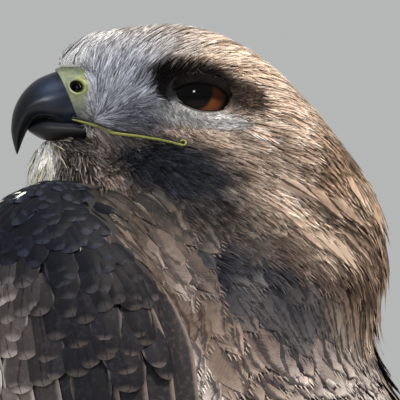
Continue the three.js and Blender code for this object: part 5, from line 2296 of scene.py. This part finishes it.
@dataclass
class Bill:
    """The hooked bill, its cere with the nostrils, and the lips along the gape."""

    skin: Object
    coat: Coat

    CERE = ((28, 10.2, 27, -8.2, 10.2), (33.0, 9.3, 29.6, -7.8, 9.5), (38.4, 7.4, 32.2, -7.3, 8.3))
    UPPER = (
        (37.6, 6.9, 31.6, -6.9, 7.7),
        (43.2, 4.6, 35.6, -8.1, 7.1),
        (47.2, 0.9, 39.4, -6.4, 6.0),
        (49.6, -3.7, 43.0, -6.1, 4.7),
        (50.3, -8.3, 45.6, -8.7, 3.3),
        (50.0, -11.4, 47.1, -11.7, 2.1),
        (49.2, -14.5, 48.1, -14.4, 0.9),
        (48.8, -15.6, 48.6, -15.6, 0.3),
    )
    LOWER = (
        (28, -7.6, 28, -11.6, 8.4),
        (33.6, -5.8, 33.2, -12.2, 7.2),
        (38.2, -5.4, 37.6, -12.4, 6.0),
        (42.4, -5.8, 41.8, -11.6, 4.4),
        (46.0, -8.0, 45.4, -9.6, 2.2),
    )
    GAPE = ((34.5, -6.3), (28.5, -7.9), (24, -9.6), (16, -11.4), (9, -13.2), (5.6, -14.2))

    def upper(self) -> None:
        """Makes the upper bill: slate black, bluer by the cere, with a pale painted highlight along the
        cutting edge.
        """
        made = loft("upper bill", head_rings(self.UPPER, 64, 72, 1.9, 3.2))
        forward, height, _ = HEAD.local(coordinates(made))
        near = np.exp(-(((forward - 39.5) / 4.2) ** 2 + ((height - 1.5) / 4.5) ** 2))
        base = 1 - fade(forward + 0.35 * height, 31.5, 37)
        paint = painted_over(np.array(linear("#080b11")), "#26344a", np.clip(0.75 * near + 0.55 * base, 0, 1))
        # Painted highlight: a pale grey line along the cutting edge.
        edge = np.interp(forward, [31.6, 35.6, 39.4, 43.0, 45.6], [-7.0, -8.2, -6.5, -6.2, -8.8])
        lip = np.exp(-(((height - edge - 0.15) / 0.28) ** 2)) * (forward < 44.5) * 0.5
        colour_layer(made, "paint", painted_over(paint, "#8a8f92", lip))
        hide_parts("bill_upper")
        finish_piece(made, Horn("polished beak horn", 0.3, ior=1.38).build())

    def lower(self) -> None:
        """Makes the lower bill: near black inside the mouth, with a browner underside."""
        made = loft("lower bill", head_rings(self.LOWER, 40, 56, 2.2, 2.4))
        _, height, _ = HEAD.local(coordinates(made))
        under = 1 - fade(height, -12.8, -10.6)
        colour_layer(made, "paint", painted_over(np.array(linear("#0d0e12")), "#3d2f29", under))
        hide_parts("bill_lower")
        finish_piece(made, Horn("lower beak horn", 0.4, ior=1.36).build())
        self.bristles("lower bill bristles", made)

    def cere(self) -> None:
        """Makes the cere: olive yellow above, bluish grey by the bill, with a round nostril on each side."""
        rings = head_rings(self.CERE, 90, 200, 2.1, 2.6)
        shape = rings.shape[:2]
        forward, height, lateral = HEAD.local(rings)
        dark = np.zeros(shape)
        for side in Side:
            dx, dy = forward - 33.2, height - 2.5
            distance = np.hypot(dx * 0.94 + dy * 0.34, (dy * 0.94 - dx * 0.34) * 1.18)
            knob = np.hypot(dx + 0.1, dy + 0.25)
            pit = 3.0 * (1 - fade(distance, 1.5, 1.95)) - 2.3 * (1 - fade(knob, 0.25, 0.95))
            rim = 0.3 * np.exp(-(((distance - 2.35) / 0.45) ** 2))
            on_side = lateral * side.value > 3
            rings = rings + side.value * np.where(on_side, rim - pit, 0)[..., None] * HEAD.left * MM
            dark = np.maximum(dark, np.where(on_side, 1 - fade(distance, 1.62, 1.9), 0))
        made = loft("waxy cere", rings)
        forward, height = forward.ravel(), height.ravel()
        by_bill = 0.5 * fade(forward + 0.55 * height, 34.0, 37)
        low = np.clip((1 - fade(height, -5, 5)) * 0.75 + by_bill, 0, 1)
        paint = painted_over(np.array(linear("#8f9650")), "#66707a", low)
        paint = painted_over(paint, "#a3a04c", 1 - fade(height, -7.6, -5.8))
        # Painted shade: the nostril's opening is near black inside its pit.
        paint = painted_over(paint, "#0b0c0c", dark.ravel())
        colour_layer(made, "paint", np.concatenate([paint, paint[:1], paint[-1:]]))
        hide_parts("cere")
        finish_piece(made, Horn("waxy cere skin", 0.42, 0.5, 0.22).build())
        self.bristles("cere bristles", made)

    def edge_share(self, points: Array) -> Array:
        """Returns how likely a feather is at each place by the bill's back edge."""
        forward, height, _ = HEAD.local(points)
        return 1 - fade(forward + 0.04 * height, 28.9, 30.4)

    def bristles(self, name: str, made: Object) -> None:
        """Grows the fine feathers that reach over the back edge of a part of the bill.

        Args:
            name: The piece's name.
            made: The part of the bill.
        """
        points, normals = self.coat.strewn(made, 14000, self.edge_share, 0.4)
        rng = self.coat.rng
        count = len(points)
        lay = LIE.at(points) + 0.45 * HEAD.ahead + rng.normal(0, 0.16, (count, 3))
        length = rng.uniform(2.0, 3.2, count)
        stand = stands(0.1 + 0 * length, 0.8, 0.0)
        colours = MARKINGS.at(points - HEAD.ahead * 2 * MM)
        colours[:, :3] = np.clip(colours[:, :3] * np.exp(rng.normal(0, 0.3, count))[:, None, None], 0, 1)
        rows = Roots(points, normals, lay, length, np.full(count, 0.44), stand, 0 * length, colours)
        self.coat.grow(name, rows, Vane.BRISTLE, made)

    def lips(self) -> None:
        """Makes the yellow-green lips along the gape, and over each a dark line that paints the shade in the
        slit of the mouth.
        """
        tree = BVHTree.FromPolygons(
            [v.co for v in self.skin.data.vertices], [tuple(p.vertices) for p in self.skin.data.polygons]
        )
        skin = ScalySkin("fleshy gape", "#8c8c46", "#5f6031", 0.6, 0.45, 0.1).build()
        # Painted shade: the dark mouth line stands for the shaded slit above each lip.
        dark = ScalySkin("mouth line", "#15120f", "#0d0b0a", 0.6, 0.6, 0.1).build()
        path = along(self.GAPE, np.linspace(0, 1, 44))
        turn = np.linspace(0, 1.35 * math.pi, 12)[1:]
        curl = path[-1] + 0.75 * np.stack([-np.sin(turn), 1 - np.cos(turn)], 1)
        swell = np.concatenate([np.linspace(0.2, 0.5, 10), np.linspace(0.5, 0.28, 34), np.full(11, 0.26)])
        lines = (
            ("lip", skin, 1.55, np.concatenate([path, curl]), swell),
            ("mouth line", dark, 1.35, path[:-4] + [0, 0.62], np.full(40, 0.26)),
        )
        for side in Side:
            for name, finish, over, line, radii in lines:
                places = []
                for forward, height in line:
                    start = Vector(HEAD.point(forward, height, side.value * 45))
                    hit, normal, _, _ = tree.ray_cast(start, Vector(HEAD.left * -side.value))
                    if hit is None or forward > 28:
                        width = 9.3 - 0.16 * max(0, forward - 29)
                        places.append(HEAD.point(forward, height, side.value * width))
                    else:
                        places.append(np.array(hit + normal * over * MM))
                places = np.array(places)
                for _ in range(6):
                    places[1:-1] = (places[:-2] + 2 * places[1:-1] + places[2:]) / 4
                made = tube(f"{name} {side.label}", places, radii * MM, 10)
                finish_piece(made, finish)

    def build(self) -> None:
        """Makes the bill and what belongs to it."""
        self.upper()
        self.lower()
        self.cere()
        self.lips()


@dataclass
class Eye:
    """An eye in its lids, with the fine feathers of their edges."""

    side: Side
    coat: Coat
    radius: float = 9.9
    lateral: float = 14.0
    pupil: float = 5.1
    iris: float = 8.2
    middle: tuple[float, float] = (1.1, -0.4)  # of the opening, forward of and above the eye

    OPENING = (
        (8.9, 0.2), (7.0, 1.9), (4.4, 2.9), (1.0, 3.1), (-2.6, 2.4), (-5.2, 0.8), (-6.7, -1.2),
        (-6.4, -2.9), (-4.4, -4.0), (-1.0, -4.3), (2.6, -3.7), (6.2, -2.0),
    )
    COLLAR = (  # how much each ring of the lids is widened, and its height over the eyeball in mm
        (1.04, -0.5), (0.985, 0.02), (0.99, 0.3), (1.03, 0.52), (1.09, 0.62),
        (1.18, 0.62), (1.3, 0.55), (1.42, 0.3), (1.52, -0.4),
    )
    LASHES = ((1.07, 150), (1.14, 150), (1.22, 140), (1.31, 130), (1.4, 120))  # the same, and how many
    # Near black lid feathers above the eye: partly their own dark colour, partly painted shadow of the brow.
    DARK = Tint("#0a0808", "#1a1513", "#070505")
    PALE = Tint("#a8a5a2", "#dddad7", "#7f7c79")

    def painted(self, made: Object) -> Array:
        """Colours the eye round the way that it looks, with painted shade from the upper lid over the iris.

        Args:
            made: The eyeball.

        Returns:
            A linear colour for each point.
        """
        centre = HEAD.point(0, 0, self.side.value * self.lateral)
        look = unit(HEAD.left * self.side.value * 0.95 + HEAD.ahead * 0.33 + 0.12 * UP)
        way = unit(coordinates(made) - centre)
        angle = np.arccos(np.clip(way @ look, -1, 1))
        ring = np.sin(np.minimum(angle, math.pi / 2)) * self.radius
        spoke = np.arctan2(way @ UP, way @ HEAD.ahead)
        fleck = 0.5 + 0.5 * np.sin(spoke * 34 + 2.5 * np.sin(spoke * 9))
        brown = np.array(linear("#4c2611")) * (0.8 + 0.4 * fleck[:, None])
        rust = np.array(linear("#6e3a18"))
        glow = np.exp(-(((ring - 6.0) / 1.1) ** 2))[:, None]
        paint = brown * (1 - 0.6 * glow) + rust * 0.6 * glow
        # Painted shade: the iris is darkened above, where the upper lid shades it.
        shade = fade(np.sin(spoke), -0.7, -0.2)[:, None]
        paint = paint * (1 - 0.86 * shade)
        paint = painted_over(paint, "#030304", 1 - fade(ring, self.pupil - 0.25, self.pupil + 0.25))
        return painted_over(paint, "#0d0807", fade(ring, self.iris - 1.2, self.iris))

    def ball(self) -> None:
        """Makes the eyeball."""
        mesh = bpy.data.meshes.new(f"eyeball {self.side.label}")
        centre = Vector(HEAD.point(0, 0, self.side.value * self.lateral))
        with edited(mesh) as work:
            bmesh.ops.create_icosphere(work, subdivisions=6, radius=self.radius * MM)
            bmesh.ops.translate(work, verts=work.verts, vec=centre)
        mesh.shade_smooth()
        made = tidy_object(mesh.name, mesh)
        colour_layer(made, "paint", self.painted(made))
        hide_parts(f"eye_{self.side.label}")
        finish_piece(made, WetEye().build())

    def ringed(self, scale: float, over: float, count: int = 96) -> Array:
        """Makes the opening's curve, widened from its middle.

        Args:
            scale: How much it is widened.
            over: Its height over the eyeball in mm.
            count: Points in it.

        Returns:
            The curve in metres.
        """
        curve = head_curve(self.OPENING, count) - self.middle
        size = np.linalg.norm(curve, axis=1, keepdims=True)
        curve = curve * (1 + (scale - 1) * 8 / size) + self.middle
        reach = self.radius + over
        out = self.lateral + np.sqrt(np.clip(reach**2 - (curve**2).sum(1), 0, None))
        return HEAD.point(curve[:, 0], curve[:, 1], self.side.value * out)

    def lids(self) -> Object:
        """Makes both lids as one collar: a wet dark edge, then skin that sinks under the coat; the upper lid
        and the front corner are painted near black as shade.

        Returns:
            The collar.
        """
        rings = np.array([self.ringed(scale, over) for scale, over in self.COLLAR])
        count = rings.shape[1]
        faces = grid_faces(len(rings), count, True)
        made = build_mesh(f"lids {self.side.label}", rings.reshape(-1, 3), faces)
        forward, height, _ = HEAD.local(coordinates(made))
        level = np.repeat(np.arange(len(rings)), count)
        # Painted shade: only the lower lid behind the front corner is pale; the upper lid and the front
        # corner are near black, as in the brow's shadow.
        lower = (1 - fade(height, -2.2, -0.4)) * (1 - fade(forward, 3.5, 7.0))
        paint = painted_over(np.array(linear("#0e0c0c")), "#85817e", lower)
        colour_layer(made, "paint", painted_over(paint, "#0f0c0c", 1 - fade(level, 2, 4)))
        finish_piece(made, Horn(f"lid skin {self.side.label}", 0.85, 0.8, 0.2, 1.1).build())
        return made

    def lashes(self, lids: Object) -> None:
        """Grows the fine feathers on the lids: pale and beaded below the eye, dark above it.

        Args:
            lids: What they grow on.
        """
        rng = self.coat.rng
        centre = HEAD.point(*self.middle, self.side.value * (self.lateral + self.radius))
        places, lays, pale = [], [], []
        for scale, count in self.LASHES:
            place = self.ringed(scale, 0.6, count)
            way = unit(place - centre) + HEAD.ahead * -0.35
            places.append(place)
            lays.append(way + rng.normal(0, 0.12, place.shape))
            _, height, _ = HEAD.local(place)
            pale.append(1 - fade(height + rng.normal(0, 0.2, count), -2.0, -0.7))
        place, lay, pale = np.concatenate(places), np.concatenate(lays), np.concatenate(pale)
        count = len(place)
        normal = unit(place - HEAD.point(0, 0, self.side.value * self.lateral))
        colours = mixed(self.DARK.values(), self.PALE.values(), pale)
        colours[:, :3] = np.clip(colours[:, :3] * np.exp(rng.normal(0, 0.3, count))[:, None, None], 0, 1)
        length = 1.25 + 0.6 * (1 - pale)
        stand = stands(0.05 + 0 * length, 0.42, 0.0)
        rows = Roots(place, normal, lay, length, 0.42 + 0 * length, stand, 0 * length, colours)
        self.coat.grow(f"lid feathers {self.side.label}", rows, Vane.BRISTLE, lids)

    def build(self) -> None:
        """Makes the eye, its lids and their feathers."""
        self.ball()
        self.lashes(self.lids())


# Legs and feet


@dataclass
class Leg:
    """A bare yellow leg with its foot and its four claws."""

    side: Side

    def build(self) -> None:
        """Makes the leg, the foot and the claws."""
        nodes = [f"shank_{self.side.label}", f"foot_{self.side.label}"]
        made = remeshed(f"leg and foot {self.side.label}", nodes, 0.8, 3, 0.0)
        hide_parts(*nodes)
        skin = ScalySkin(f"scaly leg skin {self.side.label}", "#d9b53f", "#8f6f22", 2.2, 0.5, 0.6)
        finish_piece(made, skin.build())
        claws = [f"claw_{toe}_{self.side.label}" for toe in ("inner", "middle", "outer", "back")]
        made = remeshed(f"claws {self.side.label}", claws, 0.35, 4, 0.0)
        plain_paint(made, "#17171a")
        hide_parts(*claws)
        finish_piece(made, Horn(f"claw horn {self.side.label}", 0.25).build())


# Studio


@dataclass
class Studio:
    """A pale floor, a warm key light from behind the right, a cool soft fill, and the camera."""

    turn: float = 120.0  # where the camera stands round the bird, in degrees
    distance: float = 1.8
    field: float = 0.1064  # metres across the picture at the eye
    aim: tuple[float, float] = (-0.0014, -0.0279)  # metres from the eye to the picture's middle

    SENSOR = 36.0  # mm

    def axes(self) -> tuple[Array, Array]:
        """Finds the picture's own directions.

        Returns:
            The way to its right and the way back to the camera.
        """
        a = math.radians(self.turn)
        back = np.array([math.sin(a), -math.cos(a), 0.0])
        return np.array([-back[1], back[0], 0.0]), back

    def camera(self) -> None:
        """Sets the camera up."""
        right, back = self.axes()
        eye = HEAD.point(0, 0, 23.8)
        target = eye + right * self.aim[0] + UP * self.aim[1]
        data = bpy.data.cameras.new("camera")
        data.sensor_width = self.SENSOR
        data.lens = self.SENSOR * self.distance / self.field
        data.clip_start, data.clip_end = 0.05, 30
        made = bpy.data.objects.new("camera", data)
        made.location = Vector(target + back * self.distance)
        made.rotation_euler = Vector(-back).to_track_quat("-Z", "Y").to_euler()
        bpy.context.scene.collection.objects.link(made)
        bpy.context.scene.camera = made

    def light(
        self, name: str, way: tuple[float, float, float], far: float, size: float, power: float, colour: str
    ) -> None:
        """Adds a soft light.

        Args:
            name: Its name.
            way: Its direction to the right, up and back towards the camera.
            far: Its distance in metres.
            size: Its size in metres.
            power: Its power in watts.
            colour: Its colour.
        """
        right, back = self.axes()
        eye = HEAD.point(0, 0, 0)
        direction = unit(right * way[0] + UP * way[1] + back * way[2])
        data = bpy.data.lights.new(name, "AREA")
        data.size, data.energy, data.color = size, power, linear(colour)
        made = bpy.data.objects.new(name, data)
        made.location = Vector(eye + direction * far)
        made.rotation_euler = Vector(-direction).to_track_quat("-Z", "Y").to_euler()
        bpy.context.scene.collection.objects.link(made)

    def floor(self) -> None:
        """Lays the floor."""
        size = 6.0
        corners = np.array([[-size, -size, 0], [size, -size, 0], [size, size, 0], [-size, size, 0]])
        made = build_mesh("floor", corners, [(0, 1, 2, 3)])
        mat, tree, shader = begin_finish("matt studio paper")
        fill(tree, shader, {"Base Color": rgba("#dcdad4"), "Roughness": 0.9})
        made.data.materials.append(mat)

    def build(self) -> None:
        """Makes the studio."""
        self.floor()
        world = bpy.data.worlds.new("studio")
        world.use_nodes = True
        background = world.node_tree.nodes["Background"]
        background.inputs[0].default_value = rgba("#e4e6e6")
        background.inputs[1].default_value = 0.6
        bpy.context.scene.world = world
        self.light("warm key", (0.6, 1.0, 0.25), 1.5, 0.25, 34.0, "#fff0dc")
        self.light("eye light", (-0.41, 0.21, 0.88), 1.4, 0.14, 4.5, "#ffffff")
        self.light("cool sky", (-0.25, 1.0, 0.55), 1.6, 1.0, 8.0, "#cfe0ff")
        self.camera()


def main() -> None:
    """Builds the bird and its studio in order."""
    logging.basicConfig(level=logging.INFO, format="%(name)s %(message)s")
    bpy.context.scene.view_settings.view_transform = "Standard"
    skin = Skin().build()
    form = CoatForm().build()
    coat = Coat(3)
    Plumage(skin, form, coat, WingMap()).build()
    bpy.data.objects.remove(form)
    for side in Side:
        Wing(side, coat).build()
        Eye(side, coat).build()
        Leg(side).build()
    Tail(coat).build()
    Bill(skin, coat).build()
    Studio().build()
    coat.clear()


if __name__ == "__main__":
    main()
